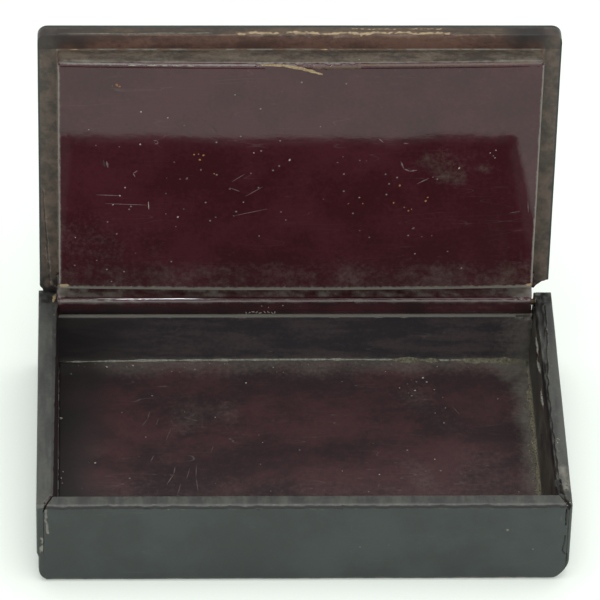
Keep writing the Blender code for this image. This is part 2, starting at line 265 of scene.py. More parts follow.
def makeLacquer(look):
    material, tree, shader = newMaterial(look["name"])
    place = addNode(tree, "TexCoord").outputs["Object"]
    drawn = addNode(tree, "Mapping", None, {"Vector": place, "Scale": look["stretch"]}).outputs[0]
    cloud = addNode(tree, "TexNoise", None, {
        "Vector": drawn, "Scale": 1 / (look["cloud"] * mm), "Detail": 5.0, "Roughness": 0.62}).outputs["Fac"]
    patch = addNode(tree, "MapRange", {"interpolation_type": "SMOOTHSTEP"}, {
        "Value": cloud, "From Min": 0.36, "From Max": 0.66}).outputs["Result"]
    grain = addNode(tree, "TexNoise", None, {
        "Vector": place, "Scale": 1 / (0.7 * mm), "Detail": 4.0, "Roughness": 0.7}).outputs["Fac"]
    centred = addNode(tree, "Math", {"operation": "SUBTRACT"}, {0: grain, 1: 0.5}).outputs[0]
    patch = addNode(tree, "Math", {"operation": "MULTIPLY_ADD", "use_clamp": True}, {
        0: centred, 1: look["speckle"], 2: patch}).outputs[0]
    dark, light = (linear(value) for value in look["colours"])
    colour = addNode(tree, "Mix", {"data_type": "RGBA"}, {0: patch, 6: dark, 7: light}).outputs[2]
    low, high = look["roughness"]
    dull = addNode(tree, "MapRange", None, {
        "Value": cloud, "From Min": 0.3, "From Max": 0.7, "To Min": low, "To Max": high}).outputs["Result"]
    # Fine scratches: where a stretched noise crosses its middle value, in patches
    masks = []
    for turn, run in ((0.5, 1.0), (-1.0, 1.6)):
        lines = addNode(tree, "Mapping", None, {
            "Vector": place, "Rotation": (0, 0, turn), "Scale": (0.10, run, 1)}).outputs[0]
        field = addNode(tree, "TexNoise", None, {
            "Vector": lines, "Scale": 1 / (1.5 * mm), "Detail": 0.0}).outputs["Fac"]
        offset = addNode(tree, "Math", {"operation": "SUBTRACT"}, {0: field, 1: 0.5}).outputs[0]
        size = addNode(tree, "Math", {"operation": "ABSOLUTE"}, {0: offset}).outputs[0]
        thin = addNode(tree, "MapRange", None, {
            "Value": size, "From Min": 0.006, "From Max": 0.0, "To Max": look["scratches"]}).outputs["Result"]
        gate = addNode(tree, "TexNoise", None, {
            "Vector": place, "Scale": 1 / (6.0 * mm * run), "Detail": 2.0}).outputs["Fac"]
        patchy = addNode(tree, "MapRange", None, {
            "Value": gate, "From Min": 0.52, "From Max": 0.64}).outputs["Result"]
        mask = addNode(tree, "Math", {"operation": "MULTIPLY"}, {0: thin, 1: patchy}).outputs[0]
        masks.append(mask)
    # Lodged specks: the middles of a few cells
    cells = addNode(tree, "TexVoronoi", None, {"Vector": place, "Scale": 1 / (1.7 * mm)})
    chosen = addNode(tree, "Math", {"operation": "LESS_THAN"}, {
        0: cells.outputs["Color"], 1: look["flecks"]}).outputs[0]
    spots = addNode(tree, "MapRange", None, {
        "Value": cells.outputs["Distance"], "From Min": 0.12, "From Max": 0.05,
        "To Max": 0.55}).outputs["Result"]
    masks.append(addNode(tree, "Math", {"operation": "MULTIPLY"}, {0: spots, 1: chosen}).outputs[0])
    for mask in masks:
        colour = addNode(tree, "Mix", {"data_type": "RGBA"}, {
            0: mask, 6: colour, 7: linear("8C8880")}).outputs[2]
        dull = addNode(tree, "Mix", {"data_type": "FLOAT"}, {0: mask, 2: dull, 3: 0.6}).outputs[0]
    rubbed = {"from": "wear", "colour": look["worn"], "roughness": 0.55, "low": look["wornFrom"],
              "high": 1.35, "ragged": 0.9}
    for layer in [rubbed] + marks:
        stored = addNode(tree, "Attribute", {"attribute_name": layer["from"]}).outputs["Fac"]
        ragged = addNode(tree, "Math", {"operation": "MULTIPLY_ADD"}, {
            0: centred, 1: layer["ragged"], 2: stored}).outputs[0]
        mask = addNode(tree, "MapRange", {"interpolation_type": "SMOOTHSTEP"}, {
            "Value": ragged, "From Min": layer["low"], "From Max": layer["high"]}).outputs["Result"]
        colour = addNode(tree, "Mix", {"data_type": "RGBA"}, {
            0: mask, 6: colour, 7: linear(layer["colour"])}).outputs[2]
        dull = addNode(tree, "Mix", {"data_type": "FLOAT"}, {
            0: mask, 2: dull, 3: layer["roughness"]}).outputs[0]
    tree.links.new(colour, shader.inputs["Base Color"])
    tree.links.new(dull, shader.inputs["Roughness"])
    swell = addNode(tree, "TexNoise", None, {
        "Vector": place, "Scale": 1 / (2.5 * mm), "Detail": 3.0}).outputs["Fac"]
    bump = addNode(tree, "Bump", None, {
        "Height": swell, "Strength": 1.0, "Distance": look["peel"] * mm}).outputs[0]
    fine = addNode(tree, "Bump", None, {
        "Height": grain, "Strength": 1.0, "Distance": look.get("grain", look["peel"]) * mm,
        "Normal": bump}).outputs[0]
    tree.links.new(fine, shader.inputs["Normal"])
    return material


def makeSpeckled(name, colours, size, roughness, metallic):
    material, tree, shader = newMaterial(name)
    place = addNode(tree, "TexCoord").outputs["Object"]
    grain = addNode(tree, "TexNoise", None, {
        "Vector": place, "Scale": 1 / (size * mm), "Detail": 4.0, "Roughness": 0.7}).outputs["Fac"]
    patch = addNode(tree, "MapRange", None, {
        "Value": grain, "From Min": 0.35, "From Max": 0.65}).outputs["Result"]
    colour = addNode(tree, "Mix", {"data_type": "RGBA"}, {
        0: patch, 6: linear(colours[0]), 7: linear(colours[1])}).outputs[2]
    tree.links.new(colour, shader.inputs["Base Color"])
    bump = addNode(tree, "Bump", None, {"Height": grain, "Distance": 0.03 * mm}).outputs[0]
    tree.links.new(bump, shader.inputs["Normal"])
    shader.inputs["Roughness"].default_value = roughness
    shader.inputs["Metallic"].default_value = metallic
    return material


# Boards

hinge = Vector(frame["joints"][0]["pos_m"]) / mm
lidTurn = math.radians(91)  # how far the lid stands open
layerNames = ("bare", "dust", "dark")
boxFront = -27.0  # the front board's outer face, mm
wallTop = 15.3
floorTop = 2.4


def addLayers(edit):
    for name in layerNames:
        edit.verts.layers.float.new(name)


def cuts(low, high, edges, coarse):
    # Places to slice a board: close together beside each edge, coarse between
    places = set()
    for edge in edges:
        for step in (0.12, 0.3, 0.6, 1.1):
            places.update((round(edge - step, 3), round(edge + step, 3)))
    count = max(1, round((high - low) / coarse))
    for i in range(1, count):
        place = low + (high - low) * i / count
        if all(abs(place - edge) > 1.3 for edge in edges):
            places.add(round(place, 3))
    return sorted(p for p in places if low + 0.05 < p < high - 0.05)


def sliceBoard(edit, axis, places):
    normal = Vector((0, 0, 0))
    normal[axis] = 1
    for place in places:
        geometry = edit.verts[:] + edit.edges[:] + edit.faces[:]
        bmesh.ops.bisect_plane(edit, geom=geometry, dist=0.001, plane_co=normal * place, plane_no=normal)


def turnLid(edit, angle):
    # About the hinge; a positive angle closes the lid
    turned = Matrix.Rotation(angle, 3, "X")
    bmesh.ops.rotate(edit, cent=hinge, matrix=turned, verts=edit.verts)


def boardFromNode(node, settings):
    # The node's own form in millimetres, sliced finely enough to carry wear
    edit = bmesh.new()
    edit.from_mesh(frame["nodes"][node].data)
    addLayers(edit)
    bmesh.ops.scale(edit, vec=(1 / mm, 1 / mm, 1 / mm), verts=edit.verts)
    bmesh.ops.remove_doubles(edit, verts=edit.verts, dist=0.0008)
    if node == "lid":
        turnLid(edit, lidTurn)
    bmesh.ops.dissolve_limit(edit, angle_limit=math.radians(0.08), verts=edit.verts, edges=edit.edges)
    for axis in range(3):
        low = min(v.co[axis] for v in edit.verts)
        high = max(v.co[axis] for v in edit.verts)
        edges = [low, high] + settings["edges"][axis]
        sliceBoard(edit, axis, cuts(low, high, edges, settings["spacing"]))
    bmesh.ops.recalc_face_normals(edit, faces=edit.faces)
    return edit


def atSeam(place):
    # Where the front board meets the side boards, seen from the front
    return place.y < -26.2 and 39.8 < abs(place.x) < 41.2 and 0.9 < place.z < 14.5


def soften(edit, rounds):
    # Rubs the sharp edges down
    sharp = {v for e in edit.edges if len(e.link_faces) == 2 and e.calc_face_angle(0) > math.radians(38)
             for v in e.verts if not atSeam(v.co)}
    for i in range(rounds):
        bmesh.ops.smooth_vert(edit, verts=list(sharp), factor=0.5, use_axis_x=True, use_axis_y=True,
                              use_axis_z=True)


def ripple(edit, amount, size, seed):
    # Hand-rubbed unevenness
    edit.normal_update()
    moves = [v.normal * amount * noiseAt(v.co, size, seed) for v in edit.verts]
    for v, move in zip(edit.verts, moves):
        v.co += move


def squareOff(edit, centre, across, along, corner, radius, inside):
    # Swells a round section towards a square one with a small corner radius
    for v in edit.verts:
        y, z = v.co.y - centre[0], v.co.z - centre[1]
        ahead, above = y * across, z * along
        reach = math.hypot(y, z)
        if not inside(v.co) or abs(reach - radius) > 0.03 or ahead < -0.02 or above < -0.02:
            continue
        steep, flat = max(ahead, above) / reach, min(ahead, above) / reach
        inner = radius - corner
        toFace = radius / steep
        if toFace * flat > inner:
            middle = inner * (steep + flat)
            toFace = middle + math.sqrt(max(0.0, middle * middle - 2 * inner * inner + corner * corner))
        v.co.y = centre[0] + y / reach * toFace
        v.co.z = centre[1] + z / reach * toFace


# Marks

sampleStep = 0.05  # how closely a line is followed when distances to it are taken, mm
wanderStep = 0.5  # how often a hand-broken line changes its direction, mm
rubReach = 0.55  # how far wear spreads from a sharp edge, mm
foldGap = 0.002  # corners closer than this are one, mm
closeRounds = 5


def alongLine(path):
    # Finds how far any place is from a line through several points
    samples = []
    for start, end in zip(path, path[1:]):
        count = max(1, round((end - start).length / sampleStep))
        samples += [start.lerp(end, i / count) for i in range(count)]
    samples.append(path[-1])
    tree = kdtree.KDTree(len(samples))
    for i, sample in enumerate(samples):
        tree.insert(sample, i)
    tree.balance()
    return lambda place: tree.find(place)[2]


def wander(path, amount, seed, pace):
    # A hand-broken line through the given points
    points = []
    for start, end in zip(path, path[1:]):
        start, end = Vector(start), Vector(end)
        count = max(1, round((end - start).length / wanderStep))
        points += [start.lerp(end, i / count) for i in range(count)]
    points.append(Vector(path[-1]))
    for i, point in enumerate(points[1:-1], 1):
        point += noise.noise_vector(Vector((i * pace, seed * 5.1, 0.4))) * amount
    return points


def closeTo(edit, path, reach):
    # The vertices within reach of a line, each with its distance
    low = [min(p[i] for p in path) - reach for i in range(3)]
    high = [max(p[i] for p in path) + reach for i in range(3)]
    found = []
    gapTo = alongLine(path)
    for v in edit.verts:
        if all(low[i] < v.co[i] < high[i] for i in range(3)):
            gap = gapTo(v.co)
            if gap < reach:
                found.append((v, gap))
    return found


def refineNear(edit, path, reach, finest):
    # Shorter edges beside a line, for a crack or a chip to follow
    gapTo = alongLine(path)
    for i in range(5):
        near = {v for v, gap in closeTo(edit, path, reach + 1.0)}
        faces = [f for f in edit.faces if len(f.verts) > 3 and any(v in near for v in f.verts)]
        bmesh.ops.triangulate(edit, faces=faces)
        edges = []
        for e in {e for v in near for e in v.link_edges}:
            length = e.calc_length()
            middle = (e.verts[0].co + e.verts[1].co) / 2
            if length > finest and gapTo(middle) < reach + length / 2:
                edges.append(e)
        if not edges:
            break
        edit.edges.index_update()  # new edges have no number yet, and every run needs the same order
        edges.sort(key=lambda e: e.index)
        bmesh.ops.subdivide_edges(edit, edges=edges, cuts=1)


def mark(edit, layer, path, reach, strength, ragged=0.25, seed=1):
    values = edit.verts.layers.float[layer]
    path = [Vector(p) for p in path]
    if len(path) == 1:
        path = path * 2
    for v, gap in closeTo(edit, path, reach):
        share = 1.15 - gap / reach + ragged * noiseAt(v.co, 0.5, seed)
        v[values] = max(v[values], max(0.0, min(1.0, share)) * strength)


def crack(edit, line):
    seed = line.get("seed", 1)
    path = wander(line["path"], line.get("wander", 0.15), seed, line.get("pace", 0.83))
    width = line["width"]
    refineNear(edit, path, width + 0.12, 0.17)
    edit.normal_update()
    moves = [(v, v.normal * line["depth"] * (1 - gap / width)) for v, gap in closeTo(edit, path, width)]
    for v, move in moves:
        v.co -= move
    if "lining" in line:
        mark(edit, line.get("layer", "bare"), path, width * 1.8, line["lining"], 0.4, seed)
    mark(edit, "dark", path, width * 1.15, line.get("dark", 1.0), 0.2, seed)


def nibble(edit, line):
    # Small losses along an edge
    seed = line.get("seed", 1)
    path = [Vector(p) for p in line["path"]]
    reach = line["reach"]
    refineNear(edit, path, reach, line.get("finest", 0.25))
    edit.normal_update()
    values = edit.verts.layers.float[line.get("layer", "bare")]
    moves = []
    for v, gap in closeTo(edit, path, reach):
        lost = max(0.0, noiseAt(v.co, line["size"], seed) + line.get("share", 0.1)) * (1 - gap / reach)
        moves.append((v, v.normal * min(line["depth"], lost * line["depth"] * 2.2)))
        v[values] = max(v[values], min(1.0, lost * 2.2 * line.get("bare", 0.8)))
    for v, move in moves:
        v.co -= move


def wearIn(edit, settings):
    for line in settings.get("cracks", []):
        crack(edit, line)
    for line in settings["losses"]:
        nibble(edit, line)


def rubPoints(edit):
    # The places where a board turns sharply
    return [v.co.copy() for e in edit.edges
            if len(e.link_faces) == 2 and e.calc_face_angle(0) > math.radians(24)
            for v in e.verts if not atSeam(v.co)]


def wornCorner(edit):
    # The lower right front corner is knocked off
    for v in edit.verts:
        lift = 3.0 * smooth(v.co.x, 38.9, 42.6) * (1 - smooth(v.co.y, -26, -21))
        v.co.z += lift * max(0.0, 1 - v.co.z / 6)


def closeUp(edit):
    # Near doubles are merged, faces folded flat on each other go, and pinholes are filled
    bmesh.ops.remove_doubles(edit, verts=edit.verts, dist=foldGap)
    bmesh.ops.dissolve_degenerate(edit, edges=edit.edges, dist=foldGap)
    for i in range(closeRounds):
        alike = {}
        for f in edit.faces:
            alike.setdefault(frozenset(f.verts), []).append(f)
        spare = {f for group in alike.values() if len(group) > 1 for f in group}
        for e in [e for e in edit.edges if len(e.link_faces) > 2]:
            fins = [f for f in e.link_faces if any(len(side.link_faces) == 1 for side in f.edges)]
            if fins:
                spare.add(min(fins, key=lambda f: f.calc_area()))
        bmesh.ops.delete(edit, geom=list(spare), context="FACES")
        gaps = [e for e in edit.edges if len(e.link_faces) == 1]
        if not spare and not gaps:
            break
        for f in bmesh.ops.holes_fill(edit, edges=gaps, sides=8)["faces"]:
            f.material_index = min(other.material_index for e in f.edges for other in e.link_faces)
    if edit.calc_volume(signed=True) < 0:
        bmesh.ops.reverse_faces(edit, faces=edit.faces)


def finishPiece(edit, name, body, node, finishes):
    rubbed = kdtree.KDTree(max(1, len(edit.verts)))
    edit.normal_update()
    for i, place in enumerate(rubPoints(edit)[:len(edit.verts)]):
        rubbed.insert(place, i)
    rubbed.balance()
    wear = edit.verts.layers.float.new("wear")
    dark = edit.verts.layers.float["dark"]
    for v in edit.verts:
        gap = rubbed.find(v.co)[2]
        v[wear] = max(0.0, 1.0 - gap / rubReach) * (1 - min(1.0, v[dark])) if gap is not None else 0.0
    least, most = ([value / mm for value in corner] for corner in cadBox)
    for v in edit.verts:
        v.co = Vector([min(max(v.co[i], least[i]), most[i]) for i in range(3)])
    closeUp(edit)
    unpaired = sum(len(e.link_faces) != 2 for e in edit.edges)
    bmesh.ops.scale(edit, vec=(mm, mm, mm), verts=edit.verts)
    for v in edit.verts:
        v.co = Vector([min(max(v.co[i], cadBox[0][i]), cadBox[1][i]) for i in range(3)])
    mesh = bpy.data.meshes.new(name)
    edit.to_mesh(mesh)
    edit.free()
    mesh.shade_smooth()
    mesh.set_sharp_from_angle(angle=math.radians(50))
    for finish in finishes:
        mesh.materials.append(finish)
    item = bpy.data.objects.new(name, mesh)
    bpy.context.scene.collection.objects.link(item)
    if node:
        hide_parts(node)
    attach(item, body)
    print(name, "made,", len(mesh.polygons), "faces,", unpaired, "unpaired edges")


lidSet = {
    # Measured with the lid shut, in millimetres
    "edges": [[-38.16, 37.98], [-24.2, -23.95, 19.5, 22.9], [15.5, 11.8]],
    "spacing": 1.0,
    "sides": (-38.16, 37.98),  # the panel's
    "panelLow": -2.5,  # its lower face at its sides, below the hinge axis
    "crown": 0.6,
    "panelFront": -24.2,
    "arris": 0.4,  # the rounding of the panel's front edge
    "rimLevel": 1.2,  # the rim's face, above the hinge axis
    "moulding": 1.8,  # half the height of the moulding that turns in the back wall
    "mouldingCorner": 0.6,
    "panelRear": (19.5, 0.75),  # the panel's hinge edge, and how far it is carried towards the hinge
    "rimDrop": 0.62,  # how far the left rim's hinge end is carried on
    "cove": (1.5, 0.55),  # where the moulding's top starts to climb to the rim, and how steeply
    "mouldingEnds": (0.40, 0.16),  # the moulding's ends close up to the walls
    "cracks": [
        {"path": [(-40.6, 3.1, 15.5), (-40.05, 13.1, 15.5), (-39.6, 22.2, 15.5)], "width": 0.13,
         "depth": 0.10, "dark": 0.8, "seed": 3},
        {"path": [(-10, -27, 15.9), (-3, -27, 16.15), (6, -27, 15.85), (15, -27, 16.1), (23, -27, 15.8)],
         "width": 0.30, "depth": 0.14, "wander": 0.45, "pace": 0.16, "dark": 0.0, "lining": 0.98, "seed": 5},
        {"path": [(-38, -27, 15.95), (-29, -27, 15.85), (-14, -27, 16.0)], "width": 0.08, "depth": 0.06,
         "wander": 0.2, "pace": 0.1, "dark": 0.0, "lining": 1.1, "layer": "dust", "seed": 6},
        {"path": [(8, -27, 17.2), (14, -27, 17.05), (22, -27, 17.2)], "width": 0.12, "depth": 0.08,
         "wander": 0.3, "dark": 0.2, "lining": 0.9, "seed": 8},
    ],
    "losses": [
        {"path": [(-8, -27, 15.5), (30, -27, 15.5)], "reach": 0.5, "depth": 0.22, "size": 1.6, "bare": 0.1,
         "seed": 4},
        {"path": [(-7, -24.2, 11.55), (10, -24.2, 11.5)], "reach": 0.35, "depth": 0.20, "size": 1.1,
         "bare": 0.5, "seed": 7},
        {"path": [(-38.1, 19.5, 11.8), (-36.9, 19.5, 11.7)], "reach": 0.45, "depth": 0.15, "size": 0.9,
         "share": 0.5, "bare": 1.2, "seed": 9},
        {"path": [(37.2, 19.5, 11.8), (38.0, 19.5, 11.9)], "reach": 0.4, "depth": 0.15, "size": 0.9,
         "share": 0.45, "bare": 1.1, "seed": 10},
        {"path": [(36.3, 23.1, 13.0), (38.0, 23.1, 13.0)], "reach": 0.8, "depth": 0.10, "size": 0.8,
         "share": 0.2, "bare": 0.4, "seed": 11},
    ],
    "break": {"path": [(40.9, 18.7, 16.9), (39.4, 20.8, 16.9), (38.2, 22.0, 16.9)], "reach": 1.9,
              "rough": 0.16},
}


def lidFinish(face):
    centre, normal = face.calc_center_median(), face.normal
    height = centre.z - hinge.z
    if height > 3.25 or centre.x < -41.0 or centre.x > 40.6:
        return 0
    if centre.y > hinge.y - 5.2 and abs(centre.x) < 38.6:
        if centre.y > hinge.y - 2.1 and height < 1.0:
            return 1
        return 1 if height < 1.3 else 0
    if abs(centre.x + 0.1) > 38.2:
        return 4
    if -24.7 < centre.y < -23.9 and -2.36 < height < 1.3 and normal.y < -0.85:
        return 5
    if height < -1.9:
        return 1
    return 6 if centre.y < -26.5 and normal.y < -0.6 else 2


def makeLid(finishes):
    edit = boardFromNode("lid", lidSet)
    low, high = lidSet["sides"]
    middle, half = (low + high) / 2, (high - low) / 2
    for v in edit.verts:
        across = (v.co.x - middle) / half
        rise = lidSet["crown"] * (1 - across * across)
        if abs(v.co.z - hinge.z - lidSet["panelLow"] + rise) < 0.02 and v.co.y < hinge.y - 3:
            v.co.z = hinge.z + lidSet["panelLow"] - rise
    radius = lidSet["arris"]
    for v in edit.verts:
        y, z = v.co.y - lidSet["panelFront"] - radius, v.co.z - panelLevel(v.co.x) - radius
        reach = math.hypot(y, z)
        if y < 0 and z < 0 and abs(reach - radius) < 0.05 and low + 0.5 < v.co.x < high - 0.5:
            v.co.y += y / reach * (radius - reach)
            v.co.z += z / reach * (radius - reach)
    rear, shift = lidSet["panelRear"]
    for v in edit.verts:
        if low - 0.05 < v.co.x < high + 0.05 and v.co.z < hinge.z + 1.3 and rear - 1.1 < v.co.y < rear + 1.7:
            if v.co.y < rear:
                v.co.y += shift * (v.co.y - rear + 1.1) / 1.1
            else:
                v.co.y += shift * (rear + 1.7 - v.co.y) / 1.7
    squareOff(edit, (hinge.y, hinge.z), -1, -1, lidSet["mouldingCorner"], lidSet["moulding"],
              lambda co: low - 0.05 < co.x < high + 0.05)
    start, slope = lidSet["cove"]
    for v in edit.verts:
        depth = v.co.z - hinge.z + start  # from the moulding's front, up into the lid
        height, behind = v.co.z - hinge.z, v.co.y - hinge.y
        between = low - 0.05 < v.co.x < high + 0.05 and height < 1.25
        if between and height > 1.1 and -4.5 < behind < -1.7:
            # The rim's plane between the panel and the moulding is squeezed, not folded
            v.co.y = hinge.y - 4.5 + (behind + 4.5) * (2.7 - slope * (start + 1.2)) / 2.7
        elif between and depth > 0 and -3.6 < behind < 0.2 and behind > -1.85 - slope * depth:
            if v.co.y < hinge.y - 1.0:
                v.co.y = min(v.co.y, hinge.y - 1.8 - slope * depth)
        if v.co.y > hinge.y - 3.0 and v.co.z < hinge.z + 1.5:
            if abs(v.co.x - low) < 0.02:
                v.co.x -= lidSet["mouldingEnds"][0]
            elif abs(v.co.x - high) < 0.02:
                v.co.x += lidSet["mouldingEnds"][1]
    rimEnd = max(v.co.y for v in edit.verts if v.co.x < -40.5)
    for v in edit.verts:
        if v.co.x < low - 0.2 and v.co.y > rimEnd - 0.02:
            v.co.y += lidSet["rimDrop"]
    soften(edit, 2)
    ripple(edit, 0.018, 9.0, 1)
    torn = lidSet["break"]
    path = [Vector(p) for p in torn["path"]]
    refineNear(edit, path, torn["reach"], 0.3)
    edit.normal_update()
    bare, dark = edit.verts.layers.float["bare"], edit.verts.layers.float["dark"]
    for v, gap in closeTo(edit, path, torn["reach"]):
        if v.normal.x + v.normal.y > 0.6 and v.co.y > 18.4 and v.normal.x > 0.2 and v.normal.y > 0.2:
            v.co -= v.normal * torn["rough"] * abs(noiseAt(v.co, 0.7, 2))
            v[bare] = max(0.0, 0.35 + 0.6 * noiseAt((v.co.x, v.co.y, v.co.z * 3), 1.2, 3))
            v[dark] = max(0.0, 0.45 + 0.7 * noiseAt((v.co.x, v.co.y, v.co.z * 4), 0.9, 4))
    wearIn(edit, lidSet)
    for start, end in ((-38, -6), (3, 38)):
        # A shallow hollow behind the panel's front edge, which mirrors the dark inside of the box
        groove = [(x, -23.42, panelLevel(x)) for x in range(start, end + 1, 2)]
        crack(edit, {"path": groove, "width": 0.24, "depth": 0.065, "wander": 0.04, "dark": 0.1, "seed": 12})
    dust = edit.verts.layers.float["dust"]
    panelFront, rimLevel = lidSet["panelFront"], lidSet["rimLevel"]
    for v in edit.verts:
        height = v.co.z - hinge.z
        corner = math.hypot(v.co.y - panelFront, height - rimLevel)  # from where panel and front rim meet
        lodged = 0.7 * (1 - smooth(corner, 0.08, 0.4)) if abs(v.co.x) < 38.4 else 0.0
        if corner < 0.5 and abs(v.co.x) < 38.2:
            v[bare] = max(v[bare], (1 - corner / 0.5) * (0.42 + 0.8 * noiseAt(v.co, 1.4, 26)))
        if v.co.y < -24.1 and -2.4 < height < 1.2 and v.co.y > -24.6:
            lodged = max(lodged, 0.18 + 0.35 * noiseAt((v.co.x, v.co.y, height * 3), 2.0, 12))
        if v.co.y > hinge.y - 5.0 and height < 1.3 and abs(v.co.x) < 38.5:
            onLedge = v.co.y < hinge.y - 1.9
            ends = smooth(v.co.x, 33, 38) + 1 - smooth(v.co.x, -38, -33)
            front = v.co.y - hinge.y + 1.8  # how far down the moulding's front face
            left = 1 - smooth(v.co.x, -30, -8)
            # Painted light: the ledge under the panel gets a pale film to offset the panel's shade on it; on
            # the moulding the film is dust
            dustAndPaintedLight = 0.43 if onLedge else 0.4 * smooth(front, 0.2, 0.4) * (1 - smooth(front, 0.4, 1.0))
            if not onLedge:
                dustAndPaintedLight += left * 0.25 * smooth(front, 0.3, 0.5) * (1 - smooth(front, 0.5, 1.3))
                dustAndPaintedLight += 0.14 * smooth(v.co.x, 12, 30)
            speck = 0.0
            if onLedge or front > 0.3:
                speck = 0.22 * noiseAt(v.co, 3.0, 13) + 0.3 * noiseAt((v.co.x * 0.6, v.co.y, v.co.z), 0.7, 13)
            lodged = max(lodged, dustAndPaintedLight + speck + 0.2 * ends * onLedge)
            # Painted shade: the moulding's front face, looking down into the box, is darkened, more so at the
            # left
            if front > 0.35:
                darkening = 0.50 + 0.2 * left * smooth(front, 1.0, 1.8) + 0.3 * noiseAt(v.co, 4.0, 31)
                v[dark] = max(v[dark], darkening)
        if height < -1.9 and v.co.y > -24:
            # Haze on the panel: along its hinge edge, and a patch at the upper right
            broken = 0.6 * noiseAt((v.co.x, v.co.y, 0), 2.4, 40)
            patch = 1 - smooth(math.hypot((v.co.x - 24) / 9, (v.co.y + 4.5) / 5) + broken, 0.3, 1.1)
            left = (1 - smooth(v.co.x + 8 * broken, -32, -10)) * smooth(v.co.y, -4, 12)
            haze = max(smooth(v.co.y, 11, 17), 0.85 * patch, 0.8 * left)
            cloudy = noiseAt((v.co.x, v.co.y * 0.6, 0), 6.0, 27) + 0.8 * noiseAt(v.co, 1.3, 27)
            lodged = max(lodged, (0.25 + 0.18 * cloudy) * haze)
        v[dust] = max(v[dust], lodged)
        if abs(v.co.x + 0.1) > 38.3:
            # The rims' hinge ends are blackened, and the rest is mottled
            v[dark] = max(v[dark], 0.26 + 0.5 * noiseAt(v.co, 1.7, 28),
                          smooth(v.co.y, 19.2, 21.5) * (0.7 + 0.9 * noiseAt(v.co, 0.8, 29)))
        if height > 1.0 and v.co.y < -24.3 and height < 3.0:
            ends = smooth(abs(v.co.x + 0.3), 24, 37)
            v[dark] = max(v[dark], 0.55 * ends + 0.35 * noiseAt(v.co, 3.0, 14))
        if v.co.y < -26.6 and 1.4 < height < 3.3:
            v[dark] = max(v[dark], 0.35 + 0.3 * noiseAt((v.co.x, v.co.y, height * 3), 2.0, 24))
    mark(edit, "bare", [(2.0, -23.75, 11.3), (9.0, -23.75, 11.3)], 0.45, 0.5, 0.3, 15)
    # Lines rubbed pale along the moulding's edge and the panel's, partly painted highlights where these
    # rounded edges catch the light
    front, low = hinge.y - lidSet["moulding"] + 0.06, hinge.z - lidSet["moulding"] + 0.18
    mark(edit, "dust", [(-38.3, front, low), (-26, front, low)], 0.22, 0.85, 0.9, 33)
    mark(edit, "dust", [(-26, front, low), (-14, front, low)], 0.14, 0.2, 1.2, 34)
    mark(edit, "dust", [(-14, front, low), (38, front, low)], 0.20, 0.60, 0.9, 35)
    mark(edit, "dust", [(37.9, -23.5, 11.9), (37.9, 19.2, 11.9)], 0.34, 0.9, 0.4, 36)
    mark(edit, "dust", [(-38.08, -23.5, 11.9), (-38.08, 19.2, 11.9)], 0.34, 0.8, 0.5, 37)
    for start, end, strength in ((-37, -28, 0.62), (-28, -16, 0.5), (-16, 0, 0.62)):
        points = [(x, -24.12, panelLevel(x) + 0.12) for x in range(start, end + 1, 3)]
        mark(edit, "dust", points, 0.28, strength, 0.8, 38)
    mark(edit, "bare", [(x, -24.12, panelLevel(x) + 0.12) for x in range(9, 39, 3)], 0.34, 0.42, 0.3, 39)
    mark(edit, "dust", [(x, -24.2, panelLevel(x) + 0.70) for x in range(-37, 39, 3)], 0.30, 0.68, 0.6, 43)
    # A broad pale band just above the panel's hinge edge: partly wear, partly a painted highlight laid on the
    # flat, since the rounded edge faces down and stays dim
    lowEdge = [Vector((x, sum(lidSet["panelRear"]) - 0.20, panelLevel(x) + 0.06)) for x in range(-38, 39, 4)]
    refineNear(edit, lowEdge, 0.6, 0.24)
    mark(edit, "dust", lowEdge, 0.85, 1.25, 0.2, 25)
    edit.normal_update()
    for face in edit.faces:
        face.material_index = lidFinish(face)
    turnLid(edit, -lidTurn)
    finishPiece(edit, "lidBoard", "lid", "lid", finishes)


def spread(edit, axis, low, high):
    # Carries a board's ends out to meet its neighbours
    ends = (min(v.co[axis] for v in edit.verts), max(v.co[axis] for v in edit.verts))
    for v in edit.verts:
        if v.co[axis] < ends[0] + 0.01:
            v.co[axis] -= low
        elif v.co[axis] > ends[1] - 0.01:
            v.co[axis] += high


frontSet = {
    "edges": [[-38.9, 39.5], [], []], "spacing": 1.0, "seed": 2,
    "cracks": [
        {"path": [(-39.98, -27.0, 14.6), (-39.98, -27.0, 12.6), (-39.69, -27.0, 10.0)], "width": 0.14,
         "depth": 0.12, "lining": 1.1, "layer": "dust", "dark": 0.5, "seed": 1},
        {"path": [(40.66, -27.0, 14.5), (40.6, -27.0, 11.3)], "width": 0.2, "depth": 0.3, "seed": 2},
        {"path": [(40.62, -27.0, 9.1), (40.38, -27.0, 6.5), (40.28, -27.0, 6.0), (40.6, -27.0, 5.5),
                  (40.85, -27.0, 5.1)], "width": 0.16, "depth": 0.2, "seed": 3},
    ],
    "specks": [((31.56, -27, 10.31), 0.30), ((35.7, -27, 6.38), 0.20), ((8.73, -27, 6.91), 0.16),
               ((13.2, -27, 7.3), 0.14), ((-21.1, -27, 14.7), 0.18)],
    "losses": [
        {"path": [(-38, -27, 15.0), (38, -27, 15.0)], "reach": 0.35, "depth": 0.05, "size": 1.8, "bare": 0.05,
         "finest": 0.5, "seed": 21},
        {"path": [(-39, -27, 0.3), (39, -27, 0.3)], "reach": 0.5, "depth": 0.08, "size": 1.5, "bare": 0.45,
         "finest": 0.5, "seed": 22},
    ],
}


